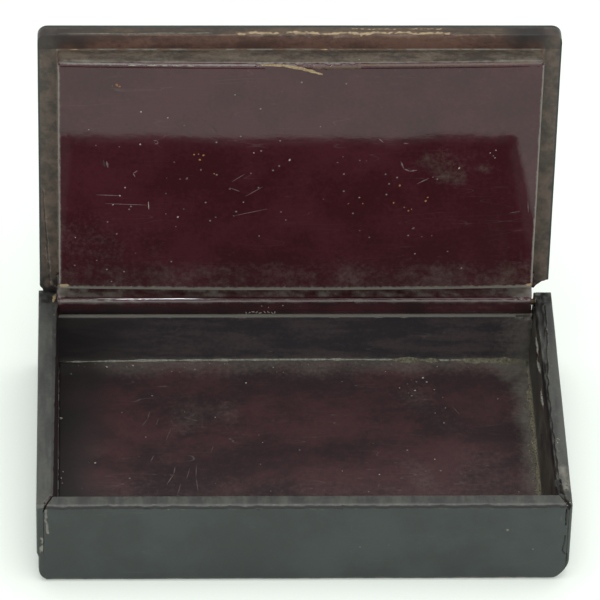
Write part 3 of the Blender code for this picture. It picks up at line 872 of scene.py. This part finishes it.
def makeFront(finishes):
    edit = boardFromNode("front_wall", frontSet)
    spread(edit, 0, 0.26, 0.26)
    soften(edit, 2)
    ripple(edit, 0.02, 9.0, frontSet["seed"])
    wearIn(edit, frontSet)
    for place, size in frontSet["specks"]:
        refineNear(edit, [Vector(place)] * 2, size, 0.14)
        mark(edit, "dust", [place], size, 0.9, 0.3, 41)
    wornCorner(edit)
    dark = edit.verts.layers.float["dark"]
    for v in edit.verts:
        # Painted reflection: a dark wavy line in the rounding below the rim, standing in for the dark room
        # mirrored there; the board is also darker towards its foot
        line = 14.97 + 0.13 * noiseAt((v.co.x, 0, 0), 1.6, 5) + 0.08 * noiseAt((v.co.x, 0, 0), 0.6, 5)
        if v.co.y < -26.5:
            v[dark] = max(v[dark], 1 - smooth(abs(v.co.z - line), 0.08, 0.30))
        if v.co.z < 1.2:
            v[dark] = max(v[dark], 0.4 * (1 - smooth(v.co.z, 0.2, 1.2)))
    edit.normal_update()
    for face in edit.faces:
        centre = face.calc_center_median()
        face.material_index = 2 if face.normal.y > 0.7 else (1 if centre.z > 15.0 else 0)
    finishPiece(edit, "frontBoard", "base", "front_wall", finishes)


backSet = {
    "edges": [[], [24.2], []], "spacing": 1.0, "seed": 3,
    "losses": [
        {"path": [(-37.5, 24.3, 11.9), (37.5, 24.3, 11.9)], "reach": 0.35, "depth": 0.07, "size": 1.5,
         "bare": 0.1, "finest": 0.4, "seed": 23},
        {"path": [(36.6, 24.3, 11.9), (38.2, 24.3, 11.9)], "reach": 0.9, "depth": 0.45, "size": 0.8,
         "share": 0.6, "bare": 0.3, "seed": 24},
    ],
}


def makeBack(finishes):
    edit = boardFromNode("back_wall", backSet)
    for v in edit.verts:
        # The ends follow the side walls' slanting inner faces
        if v.co.x < -37.85:
            v.co.x = -38.55 - 0.25 * v.co.z / wallTop
        elif v.co.x > 37.9:
            v.co.x = 38.40 + 0.6 * v.co.z / wallTop - 0.55 * smooth(v.co.z, 10.0, 11.6)
    soften(edit, 2)
    ripple(edit, 0.02, 9.0, backSet["seed"])
    wearIn(edit, backSet)
    dust, dark = (edit.verts.layers.float[name] for name in ("dust", "dark"))
    for v in edit.verts:
        # Pale bands along the inner face's top edge and foot: dust, and painted highlights where these edges
        # catch the light; the right end is dusty
        top = 1 - smooth(abs(v.co.z - 11.95), 0.15, 0.5)
        if v.co.y < 24.9:
            v[dust] = max(v[dust], 1.05 * top, 0.5 * smooth(v.co.x, 29, 38),
                          0.9 * (1 - smooth(v.co.z, 2.6, 3.3)))
            v[dark] = max(v[dark], 0.58 * (1 - smooth(v.co.x, -35, -12)) * (1 - top))
    edit.normal_update()
    for face in edit.faces:
        face.material_index = 1 if face.normal.y < -0.4 or face.normal.z > 0.6 else 0
    finishPiece(edit, "backBoard", "base", "back_wall", finishes)


leftSet = {
    "edges": [[], [], []], "spacing": 0.8, "seed": 4,
    "rearCentre": (25.5, 13.8), "rearRadius": 1.5, "rearCorner": 0.45,
    "step": {"height": 5.7, "depth": 0.28, "reach": 9.0},
    "cracks": [
        {"path": [(-38.8, -23.9, 15.3), (-39.36, -24.63, 15.3), (-39.97, -25.58, 15.3),
                  (-40.12, -26.5, 15.1)], "width": 0.16, "depth": 0.25, "seed": 1},
        {"path": [(-41.3, -26.0, 15.15), (-40.1, -26.1, 15.2)], "width": 0.14, "depth": 0.15, "seed": 2},
    ],
    "losses": [
        {"path": [(-40.65, -27.0, 8.7), (-40.7, -27.0, 5.9)], "reach": 0.5, "depth": 0.1, "size": 0.7,
         "share": 0.25, "bare": 1.4, "layer": "dust", "seed": 31},
        {"path": [(-38.7, -22, 15.2), (-38.9, 22, 15.2)], "reach": 0.4, "depth": 0.10, "size": 1.2,
         "bare": 0.2, "finest": 0.4, "seed": 32},
        {"path": [(-40.3, -26.6, 2.4), (-38.6, -27.0, 0.6)], "reach": 0.9, "depth": 0.12, "size": 0.7,
         "share": 0.3, "bare": 0.5, "seed": 33},
    ],
}
rightSet = {
    "edges": [[], [], []], "spacing": 0.8, "seed": 5,
    "rubbedAway": {"width": 0.6, "depth": 0.45},  # the inner top edge, lost towards the hinge
    "cracks": [
        {"path": [(40.1, 22.5, 15.2), (39.95, 15, 15.2), (39.5, 7, 15.2), (39.3, 1, 15.2), (39.35, -6, 15.25),
                  (39.5, -14, 15.25), (39.65, -21.5, 15.3)], "width": 0.24, "depth": 0.35, "wander": 0.25,
         "pace": 0.3, "dark": 1.1, "seed": 1},
        {"path": [(39.56, -20.9, 15.3), (39.8, -23.6, 15.3), (40.0, -25.2, 15.3), (40.85, -26.7, 14.9)],
         "width": 0.55, "depth": 0.75, "wander": 0.12, "lining": 0.3, "dark": 0.95, "seed": 2},
        {"path": [(41.0, -26.95, 5.0), (41.08, -26.99, 3.0)], "width": 0.14, "depth": 0.2, "seed": 3},
    ],
    "losses": [
        {"path": [(38.7, 18.4, 12.15), (38.76, 14.3, 12.3)], "reach": 0.90, "depth": 0.12, "size": 0.9,
         "share": 0.5, "bare": 1.3, "seed": 41},
        {"path": [(38.67, 14.4, 10.9), (38.86, 9.0, 12.3)], "reach": 0.7, "depth": 0.12, "size": 0.9,
         "share": 0.5, "bare": 1.2, "seed": 42},
        {"path": [(38.77, 5.84, 10.97), (38.84, 1.97, 11.27)], "reach": 0.8, "depth": 0.10, "size": 0.8,
         "share": 0.6, "bare": 1.4, "seed": 43},
        {"path": [(40.5, -18.0, 15.3), (40.9, -22.9, 15.3)], "reach": 1.1, "depth": 0.04, "size": 2.5,
         "share": 0.6, "bare": 0.55, "layer": "dust", "seed": 44},
        {"path": [(38.9, 24.5, 15.2), (39.3, 26.4, 14.9)], "reach": 0.8, "depth": 0.12, "size": 0.8,
         "share": 0.25, "bare": 0.5, "seed": 45},
    ],
}


def makeSide(node, name, settings, finishes, sign):
    edit = boardFromNode(node, settings)
    if "rearCorner" in settings:
        squareOff(edit, settings["rearCentre"], 1, 1, settings["rearCorner"], settings["rearRadius"],
                  lambda co: True)
    if "step" in settings:
        step = settings["step"]
        for v in edit.verts:
            if v.co.y < boxFront + step["reach"]:
                edge = step["height"] + 0.25 * noiseAt((v.co.y, 0, 0), 1.5, 6)
                near = 1 - smooth(v.co.y, boxFront + step["reach"] * 0.4, boxFront + step["reach"])
                v.co.x += step["depth"] * near * (1 - smooth(v.co.z, edge - 0.25, edge + 0.05))
    soften(edit, 2)
    ripple(edit, 0.02, 9.0, settings["seed"])
    if "rubbedAway" in settings:
        away = settings["rubbedAway"]
        values = edit.verts.layers.float["dark"]
        refineNear(edit, [Vector((39.4, 24, 15.2)), Vector((39.2, -22, 15.2))], 0.9, 0.4)
        for v in edit.verts:
            edge = 39.45 + away["width"] * smooth(v.co.y, 2, 20)
            share = (1 - smooth(v.co.x, edge - 0.2, edge)) * smooth(v.co.z, 12.4, 14.2)
            if v.co.y < 25.6 and share > 0 and v.normal.z > -0.1:
                streak = noiseAt((v.co.x * 3, v.co.y * 0.6, 0), 1.5, 51)
                v.co.z -= away["depth"] * share * (0.7 + 0.7 * streak) * smooth(v.co.y, -4, 8)
                v[values] = max(v[values], share * (0.68 + 0.6 * streak))
    wearIn(edit, settings)
    if sign > 0:
        wornCorner(edit)
    dust, dark = (edit.verts.layers.float[name] for name in ("dust", "dark"))
    for v in edit.verts:
        inner = sign * v.co.x < 39.3
        if inner:
            foot = 1 - smooth(v.co.z, 2.5, 4.6 if sign > 0 else 3.2)
            v[dust] = max(v[dust], 0.8 * foot, (0.35 if sign > 0 else 0.1) + 0.25 * noiseAt(v.co, 4.0, 16))
            if sign < 0:
                v[dark] = max(v[dark], 0.5 * (1 - foot))
        if v.co.z > 11.5 and v.co.y > 21.5:
            # Painted shade round the hinge pin, where the wall's top lies in the crevice under the lid's rim;
            # the left wall's inner face also swells against the moulding's end
            near = smooth(v.co.y, 21.5, 23.0)
            v[dark] = max(v[dark], near * (0.55 + 0.9 * noiseAt(v.co, 0.9, 30)))
            if inner and sign < 0 and v.normal.x > 0.5:
                v.co.x += 0.2 * near
    edit.normal_update()
    for face in edit.faces:
        centre = face.calc_center_median()
        facingIn = face.normal.x * sign < -0.6
        face.material_index = 2 if facingIn else (1 if centre.z > 14.9 else 0)
    finishPiece(edit, name, "base", node, finishes)


floorSet = {
    "edges": [[-37.9, 37.7], [-24.1, 23.8], []], "spacing": 1.1, "seed": 6,
    "bow": 0.38,  # the back edge's rise at mid-length
}


def makeFloor(finishes):
    edit = boardFromNode("bottom_board", floorSet)
    spread(edit, 0, 0.24, 0.22)
    spread(edit, 1, 0.22, 0.22)
    ripple(edit, 0.03, 9.0, floorSet["seed"])
    dust, dark = (edit.verts.layers.float[name] for name in ("dust", "dark"))
    for v in edit.verts:
        if v.co.z < 1.2:
            continue
        x, y = v.co.x, v.co.y
        v.co.z += floorSet["bow"] * (1 - (x / 38) ** 2) * smooth(y, 8, 24) ** 2
        rightSide = 0.6 * smooth(x + 2 * noiseAt(v.co, 4.0, 17), 32, 38.5)
        rearSide = 0.46 * smooth(y + 1.5 * noiseAt(v.co, 4.0, 18), 17, 24)
        corner = math.hypot((x - 38) / 9, (y - 24) / 7) + 0.3 * noiseAt(v.co, 3.0, 32)
        rightSide = max(rightSide, 0.6 * (1 - smooth(corner, 0.4, 1.1)))
        # The front of the floor, out of the lid's shadow, is paler: partly dust, partly painted light
        frontDustAndLight = 0.20 * (1 - smooth(y, -9, 3))
        away = math.hypot((x - 29) / 10, (y + 4) / 7) + 0.4 * noiseAt(v.co, 4.0, 42)
        nearRight = 0.20 * (1 - smooth(away, 0.4, 1.2))
        v[dust] = max(rightSide, rearSide, frontDustAndLight, nearRight, 0.09 + 0.3 * noiseAt(v.co, 7.0, 19))
        v[dark] = max(v[dark], 0.68 * (1 - smooth(x + 4 * noiseAt(v.co, 6.0, 20), -37, -22)))
    edit.normal_update()
    for face in edit.faces:
        face.material_index = 1 if face.normal.z > 0.5 else 0
    finishPiece(edit, "floorBoard", "base", "bottom_board", finishes)


# Slivers, banks of dust and crumbs

def makeSliver(name, body, points, width, thick, finishes, seed, shut=False, out=(0, 0, 1)):
    # A torn strip of board lying along a line, thin at both ends
    edit = bmesh.new()
    addLayers(edit)
    bmesh.ops.create_cube(edit, size=1.0)
    sliceBoard(edit, 0, [-0.5 + i / 24 for i in range(1, 24)])
    sliceBoard(edit, 1, [0.0])
    path = [Vector(p) for p in points]
    for v in edit.verts:
        share = v.co.x + 0.5
        at = share * (len(path) - 1)
        i = min(int(at), len(path) - 2)
        centre = path[i].lerp(path[i + 1], at - i)
        along = (path[i + 1] - path[i]).normalized()
        side = along.cross(Vector(out)).normalized()
        full = math.sin(math.pi * min(0.94, max(0.03, share ** 1.25))) ** 0.55
        full *= 1 + 0.7 * noiseAt((share * 14, v.co.y * 3, 0), 1.0, seed)
        lift = 0.12 * noiseAt((share * 5, 0, v.co.y), 1.0, seed + 1)
        v.co = centre + side * v.co.y * width * full + Vector(out) * (v.co.z * thick * full + lift)
    bmesh.ops.recalc_face_normals(edit, faces=edit.faces)
    if shut:
        turnLid(edit, -lidTurn)
    finishPiece(edit, name, body, None, finishes)


def makeBank(name, low, high, corner, axis, width, rise, toward, uneven, finishes, seed):
    # Dust banked in the corner between the floor and a wall
    edit = bmesh.new()
    addLayers(edit)
    bmesh.ops.create_cube(edit, size=1.0)
    count = round((high - low) / 0.35)
    sliceBoard(edit, 0, [-0.5 + i / count for i in range(1, count)])
    sliceBoard(edit, 1, [-0.2, 0.15])
    for v in edit.verts:
        place = low + (high - low) * (v.co.x + 0.5)
        ends = smooth(place, low, low + 2) * (1 - smooth(place, high - 2, high))
        lumps = noiseAt((place, 0, 0), 2.6, seed) + 0.4 * noiseAt((place, 0, 0), 0.7, seed)
        full = max(0.12, 0.7 + uneven * lumps) * (0.3 + 0.7 * ends)
        out = (v.co.y + 0.5) * width * full
        up = v.co.z > 0
        height = rise * full * (1 - (v.co.y + 0.5)) ** 1.6 if up else 0.0
        ridge = 0.06 * noiseAt((place, out * 2, 3), 0.4, seed) if up else 0.0
        across = corner + toward * (out - 0.08)
        level = floorLevel(place, across, axis) - 0.05 + height + ridge
        v.co = Vector((place, across, level)) if axis == 0 else Vector((across, place, level))
    bmesh.ops.recalc_face_normals(edit, faces=edit.faces)
    finishPiece(edit, name, "base", None, finishes)


def floorLevel(place, across, axis):
    # The height of the floor there
    x, y = (place, across) if axis == 0 else (across, place)
    return floorTop + floorSet["bow"] * (1 - (x / 38) ** 2) * smooth(y, 8, 24) ** 2


def makeCrumbs(name, body, crumbs, finishes, shut=False):
    # Small lumps: each is a place, a size along x, y and z, and a finish
    edit = bmesh.new()
    random.seed(11)
    addLayers(edit)
    for place, size, finish in crumbs:
        made = bmesh.ops.create_icosphere(edit, subdivisions=1, radius=1.0)["verts"]
        turned = Matrix.Rotation(random.uniform(0, 3.14), 3, "Z")
        for v in made:
            v.co *= random.uniform(0.7, 1.15)
            v.co = turned @ Vector((v.co.x * size[0], v.co.y * size[1], v.co.z * size[2])) + Vector(place)
        for face in {f for v in made for f in v.link_faces}:
            face.material_index = finish
    if shut:
        turnLid(edit, -lidTurn)
    finishPiece(edit, name, body, None, finishes)


def makeStrokes(name, body, strokes, level, finishes, shut=False):
    # Scratches and scuffs, and painted highlights: thin raised lines through several points, each with a
    # width and a finish
    edit = bmesh.new()
    addLayers(edit)
    for path, width, finish in strokes:
        for start, end in zip(path, path[1:]):
            start, end = Vector((*start, 0)), Vector((*end, 0))
            middle = (start + end) / 2
            turned = Matrix.Rotation(math.atan2(end.y - start.y, end.x - start.x), 3, "Z")
            made = bmesh.ops.create_icosphere(edit, subdivisions=2, radius=1.0)["verts"]
            half = (end - start).length / 2 + width * 0.4
            for v in made:
                thin = width * (1 + 0.8 * noiseAt((v.co.x * half, 0, finish), 0.5, 8))
                v.co = turned @ Vector((v.co.x * half, v.co.y * thin, v.co.z * 0.02)) + middle
                v.co.z += level(v.co.x, v.co.y)
            for face in {f for v in made for f in v.link_faces}:
                face.material_index = finish
    if shut:
        turnLid(edit, -lidTurn)
    finishPiece(edit, name, body, None, finishes)


def panelLevel(x):
    low, high = lidSet["sides"]
    across = (x - (low + high) / 2) / ((high - low) / 2)
    return hinge.z + lidSet["panelLow"] - lidSet["crown"] * (1 - across * across)


panelFlecks = [
    # Across, along, size in millimetres, finish: 0 pale, 1 rust, 2 scuffed
    (-28.9, -20.2, 0.26, 1), (-28.5, -19.9, 0.20, 1), (-29.6, -20.0, 0.10, 2), (-16.7, -6.9, 0.16, 1),
    (-15.2, -6.8, 0.20, 1), (-16.0, -7.0, 0.14, 1), (-15.8, -5.9, 0.20, 1), (-13.5, -3.2, 0.16, 1),
    (-15.6, -3.9, 0.18, 2), (-17.8, -2.2, 0.24, 2), (-18.9, -2.1, 0.12, 2), (-25.1, -15.1, 0.15, 0),
    (-20.9, -14.0, 0.12, 0), (-10.4, -18.5, 0.09, 0), (-1.6, -5.9, 0.19, 0), (-7.7, -3.3, 0.14, 2),
    (-7.3, -7.3, 0.11, 0), (-25.2, -8.8, 0.16, 0), (-28.5, -8.3, 0.12, 2), (-32.2, -8.5, 0.12, 2),
    (-27.6, -0.3, 0.13, 0), (-28.4, 1.3, 0.15, 0), (-29.5, 3.1, 0.13, 0), (-19.2, 5.4, 0.15, 0),
    (-21.1, 4.8, 0.12, 2), (-19.5, 7.3, 0.10, 2), (-8.8, 2.4, 0.11, 0), (-6.2, 9.1, 0.10, 0),
    (-2.0, 5.9, 0.10, 0), (-25.9, 12.7, 0.10, 2), (-35.5, 9.7, 0.11, 0), (-28.9, 8.9, 0.16, 2),
    (-10.3, 5.1, 0.13, 2), (-11.0, -0.2, 0.17, 2), (16.0, -0.8, 0.20, 1), (15.1, 2.6, 0.16, 1),
    (20.2, 2.3, 0.18, 1), (20.5, 1.6, 0.13, 1), (17.5, 4.2, 0.17, 1), (16.8, 3.5, 0.12, 1),
    (18.0, 3.9, 0.10, 1), (25.3, -4.1, 0.17, 0), (31.0, -7.5, 0.13, 0), (30.6, -6.4, 0.12, 2),
    (30.1, -7.0, 0.11, 0), (30.9, -6.0, 0.10, 0), (7.9, 2.7, 0.12, 1), (9.6, 1.5, 0.13, 0),
    (10.2, 2.7, 0.12, 1), (3.9, 1.8, 0.11, 2), (6.0, -5.4, 0.14, 2), (6.8, -6.5, 0.10, 2),
    (18.8, 12.8, 0.13, 0), (21.4, 9.2, 0.10, 2), (19.8, 9.4, 0.12, 2), (18.4, 7.7, 0.22, 2),
    (21.9, -2.0, 0.15, 2), (21.2, -2.4, 0.11, 2), (-33.3, -11.5, 0.10, 0), (3.1, -12.4, 0.08, 0),
]
panelStrokes = [
    ([(-32.2, 1.2), (-28.4, 1.3)], 0.06, 2), ([(-30.9, 2.9), (-24.0, 3.1)], 0.05, 2),
    ([(-23.9, 2.4), (-23.8, 4.0)], 0.05, 0), ([(-25.6, -3.7), (-26.3, -3.1), (-26.0, -2.4)], 0.08, 2),
    ([(-23.1, -9.6), (-22.5, -9.5), (-22.4, -9.0), (-22.9, -8.9)], 0.06, 2),
    ([(-8.6, -3.2), (-10.7, -1.6)], 0.05, 2), ([(-11.1, -0.5), (-9.4, 0.3)], 0.06, 2),
    ([(-8.6, 1.3), (-5.7, -0.7)], 0.04, 2), ([(-10.3, 5.1), (-4.9, 3.7)], 0.04, 2),
    ([(16.0, -5.6), (16.5, -4.1), (17.5, -3.6), (18.6, -3.8)], 0.10, 2),
    ([(33.4, 5.0), (35.5, 4.6)], 0.05, 2), ([(36.5, 2.6), (36.7, 5.0)], 0.06, 2),
    ([(18.7, -1.1), (20.6, -2.2)], 0.07, 2), ([(12.4, -10.0), (13.1, -9.3)], 0.08, 2),
    ([(16.3, -9.1), (17.1, -9.0)], 0.07, 2), ([(-13.2, -11.4), (-13.5, -12.0), (-14.0, -12.3)], 0.08, 3),
    ([(-31.0, -5.6), (-30.8, -4.4)], 0.20, 3), ([(-30.5, -5.4), (-30.3, -4.2)], 0.14, 2),
]
floorFlecks = [
    (20.8, 19.7, 0.24), (19.4, 16.6, 0.22), (21.4, 18.7, 0.20), (14.8, 21.2, 0.13), (32.7, 14.5, 0.13),
    (24.1, 12.2, 0.15), (23.7, 8.5, 0.14), (6.9, -3.4, 0.12), (12.8, -4.3, 0.18), (10.9, -8.5, 0.12),
    (21.8, -0.6, 0.14), (-26.2, 23.0, 0.18), (-36.3, 21.1, 0.12), (-16.2, 21.9, 0.14), (-8.0, 18.5, 0.18),
    (-13.1, 10.0, 0.14), (-28.1, 11.3, 0.11), (-24.3, 5.1, 0.13), (-4.6, -8.3, 0.11), (-5.6, 3.7, 0.12),
    (16.9, 17.2, 0.14), (22.5, 16.8, 0.13), (18.2, 18.2, 0.11),
]
floorStrokes = [
    ([(-23.6, 11.5), (-24.0, 9.5), (-24.9, 7.9)], 0.06, 0), ([(-20.1, 7.7), (-21.1, 4.2)], 0.05, 0),
    ([(-23.0, 0.7), (-23.6, -1.0)], 0.06, 0), ([(-19.7, -2.2), (-19.9, -4.0), (-21.1, -6.7)], 0.08, 0),
    ([(-16.3, -1.8), (-16.4, -4.8), (-16.1, -8.4)], 0.06, 0), ([(-18.8, -6.2), (-19.4, -9.2)], 0.06, 0),
    ([(-17.3, -2.5), (-17.9, -5.2)], 0.05, 0), ([(25.0, 13.2), (26.4, 10.3)], 0.05, 0),
    ([(-22.2, 9.8), (-22.6, 8.2)], 0.05, 0), ([(-13.5, 3.0), (-13.9, 1.2)], 0.05, 0),
]


addCamera(cameraSet)
addStudio(studio)
finish = {name: makeLacquer(look) for name, look in lacquers.items()}
# Aged brass: warm metal dulled brown in its low places
brass = makeSpeckled("aged brass", ("3A3325", "655838"), 0.5, 0.6, 1.0)
# Torn paper board: matt, fibrous, straw-coloured where it is fresh
torn = makeSpeckled("torn paper board", ("7C694A", "AA9874"), 0.35, 0.9, 0.0)
# House dust and old snuff: matt grey-olive crumbs
dustFinish = makeSpeckled("lodged dust", ("423F35", "86816A"), 0.35, 0.95, 0.0)
# Darker dust along the left board's foot
darkDust = makeSpeckled("sooty dust", ("24231F", "4C4A42"), 0.5, 0.95, 0.0)
# Olive crust of old snuff in the rear right corner
crust = makeSpeckled("caked snuff", ("3A3930", "6C6956"), 0.6, 0.95, 0.0)
# The pale line packed along the back board's foot: dust, and a painted highlight in the corner
lineFinish = makeSpeckled("packed dust", ("5C5E54", "85867A"), 0.5, 0.9, 0.0)
scuff = makeSpeckled("scuffed lacquer", ("48363A", "6C5A5A"), 0.4, 0.6, 0.0)
dullScuff = makeSpeckled("dull scuffs", ("3E3230", "5A4A46"), 0.4, 0.6, 0.0)
pale = makeSpeckled("pale specks", ("7A766C", "A8A498"), 0.3, 0.8, 0.0)
rust = makeSpeckled("rust-brown specks", ("6A4428", "94683C"), 0.3, 0.8, 0.0)
for name in ("left_hinge_pin", "right_hinge_pin"):
    pin = frame["nodes"][name]
    pin.data.materials.clear()
    pin.data.materials.append(brass)
black, rimWithSheen, brown = finish["blackLacquer"], finish["rimLacquerAndSheen"], finish["brownLacquer"]
red, inner = finish["panelLacquer"], finish["innerLacquer"]
makeLid([black, red, brown, inner, finish["sideLacquer"], finish["plugLacquer"], finish["endLacquer"]])
makeFront([black, rimWithSheen, inner])
makeBack([black, finish["backLacquer"]])
makeSide("left_wall", "leftBoard", leftSet, [black, rimWithSheen, inner], -1)
makeSide("right_wall", "rightBoard", rightSet, [black, rimWithSheen, finish["grimyLacquer"]], 1)
makeFloor([black, inner])
makeSliver("panelSliver", "lid", [(-6.5, -24.15, 11.35), (-3.0, -24.1, 11.25), (-0.3, -23.7, 11.1),
                                  (1.6, -23.1, 11.1), (3.2, -22.5, 11.15)], 0.42, 0.14, [torn], 5, True)
makeSliver("hingeSliver", "base", [(-38.75, 25.7, 15.35), (-38.9, 24.8, 15.45), (-39.15, 23.5, 15.4)],
           0.5, 0.16, [torn], 9)
# Fibres of board laid open along the right wall's inner face
fibres = makeSpeckled("pale board fibres", ("6E6E66", "A6A89E"), 0.3, 0.9, 0.0)
rightSlivers = [
    ("rightSliverRear", [(38.68, 18.6, 12.0), (38.70, 16.4, 12.4), (38.72, 14.2, 12.2)], 0.55),
    ("rightSliverMiddle", [(38.64, 13.8, 10.9), (38.72, 11.5, 11.8), (38.84, 9.2, 12.2)], 0.50),
    ("rightSliverFront", [(38.78, 6.0, 11.0), (38.82, 2.0, 11.3)], 0.50),
]
for i, (name, points, width) in enumerate(rightSlivers):
    makeSliver(name, "base", points, width, 0.34, [fibres], 12 + i, out=(-1, 0, 0))
makeBank("rearDustAndSheen", -37.6, 37.6, 24.2, 0, 0.46, 0.52, -1, 0.35, [lineFinish], 3)
makeBank("cornerDust", 15, 38.2, 24.2, 0, 1.1, 0.75, -1, 0.7, [crust], 6)
makeBank("rightDust", -23.8, 23.6, 38.2, 1, 1.0, 0.9, -1, 0.8, [dustFinish], 4)
makeBank("leftDust", -23.8, 23.6, -38.3, 1, 0.30, 0.4, 1, 1.3, [darkDust], 5)
mouldingCrumbs = [((x, 25.5 + 0.12 * math.sin(x * 3), 12.49), (0.34, 0.11, 0.07), 0)
                  for x in (-8.0, -7.5, -6.9, -6.3, -5.7, -5.0, -4.4, -3.8, -3.4)]
mouldingCrumbs += [((-5.5, 24.2, 12.49), (0.12, 0.18, 0.08), 1), ((-2.1, 24.1, 12.49), (0.10, 0.2, 0.08), 0),
                   ((-4.4, 24.5, 12.49), (0.16, 0.10, 0.06), 1), ((-0.6, 23.6, 12.49), (0.10, 0.16, 0.06), 2)]
makeCrumbs("mouldingCrumbs", "lid", mouldingCrumbs, [lineFinish, dustFinish, scuff], True)
# Painted highlights: pale dashes along the panel's front edge, where the lamp's reflection shows
paintedGlints = [([(start, -23.98), (end, -23.98)], 0.07, 0)
          for start, end in ((-27.2, -25.8), (-24.2, -22.6), (-21.9, -21.0), (-20.4, -18.6), (-18.0, -16.8))]
makeStrokes("paintedEdgeHighlights", "lid", paintedGlints, lambda x, y: panelLevel(x) + 0.03, [pale], True)
makeCrumbs("panelFlecks", "lid", [((x, y, panelLevel(x)), (size * 1.3, size, size * 0.3), kind)
                                  for x, y, size, kind in panelFlecks], [pale, rust, scuff], True)
darkening = makeSpeckled("black grime", ("141110", "241E1C"), 0.4, 0.7, 0.0)
makeStrokes("panelScratches", "lid", panelStrokes, lambda x, y: panelLevel(x),
            [pale, rust, scuff, darkening], True)
makeStrokes("floorScratches", "base", floorStrokes, lambda x, y: floorLevel(x, y, 0), [dullScuff])
random.seed(7)
crumbs = [((-32.4, -1.3, 2.45), (0.22, 0.2, 0.12), 1), ((-30.5, 22.6, 2.7), (0.25, 0.2, 0.12), 1)]
crumbs += [((x, y, floorLevel(x, y, 0) + 0.01), (size, size * 0.8, size * 0.3), 1)
           for x, y, size in floorFlecks]
for i in range(170):
    y = random.gauss(-1.0, 10.0)
    if -23 < y < 23:
        x = 38.0 - abs(random.gauss(0.2, 0.55))
        size = random.uniform(0.07, 0.2)
        crumbs.append(((x, y, floorLevel(y, x, 1) + 0.03), (size, size, size * 0.7), 0))
for i in range(60):
    x = random.uniform(-36, 37)
    y = 23.9 - abs(random.gauss(0, 0.9))
    size = random.uniform(0.05, 0.13)
    crumbs.append(((x, y, floorLevel(x, y, 0) + 0.02), (size, size, size * 0.6), i % 5 == 0))
for i in range(50):
    x, y = random.uniform(-37, 37), random.uniform(-23, 23)
    size = random.uniform(0.04, 0.10)
    crumbs.append(((x, y, floorLevel(x, y, 0) + 0.01), (size, size, size * 0.5), i % 3 == 0))
crumbs += [((40.15 + 0.22 * math.cos(a), -11.4 + 0.5 * math.sin(a), 15.3), (0.10, 0.12, 0.04), 1)
           for a in (0.4, 1.3, 2.2, 3.3, 4.4)]
crumbs += [((-37.8, -5.2, 2.6), (0.14, 0.22, 0.2), 1), ((-37.6, -6.4, 2.5), (0.12, 0.2, 0.14), 1),
           ((-37.5, -3.5, 2.5), (0.12, 0.14, 0.12), 1), ((-37.9, 9.4, 2.8), (0.12, 0.3, 0.25), 1)]
crumbs += [((40.62, -26.6, 14.95), (0.22, 0.12, 0.12), 1), ((41.1, -26.3, 15.25), (0.14, 0.12, 0.08), 1)]
makeCrumbs("looseCrumbs", "base", crumbs, [dustFinish, pale])
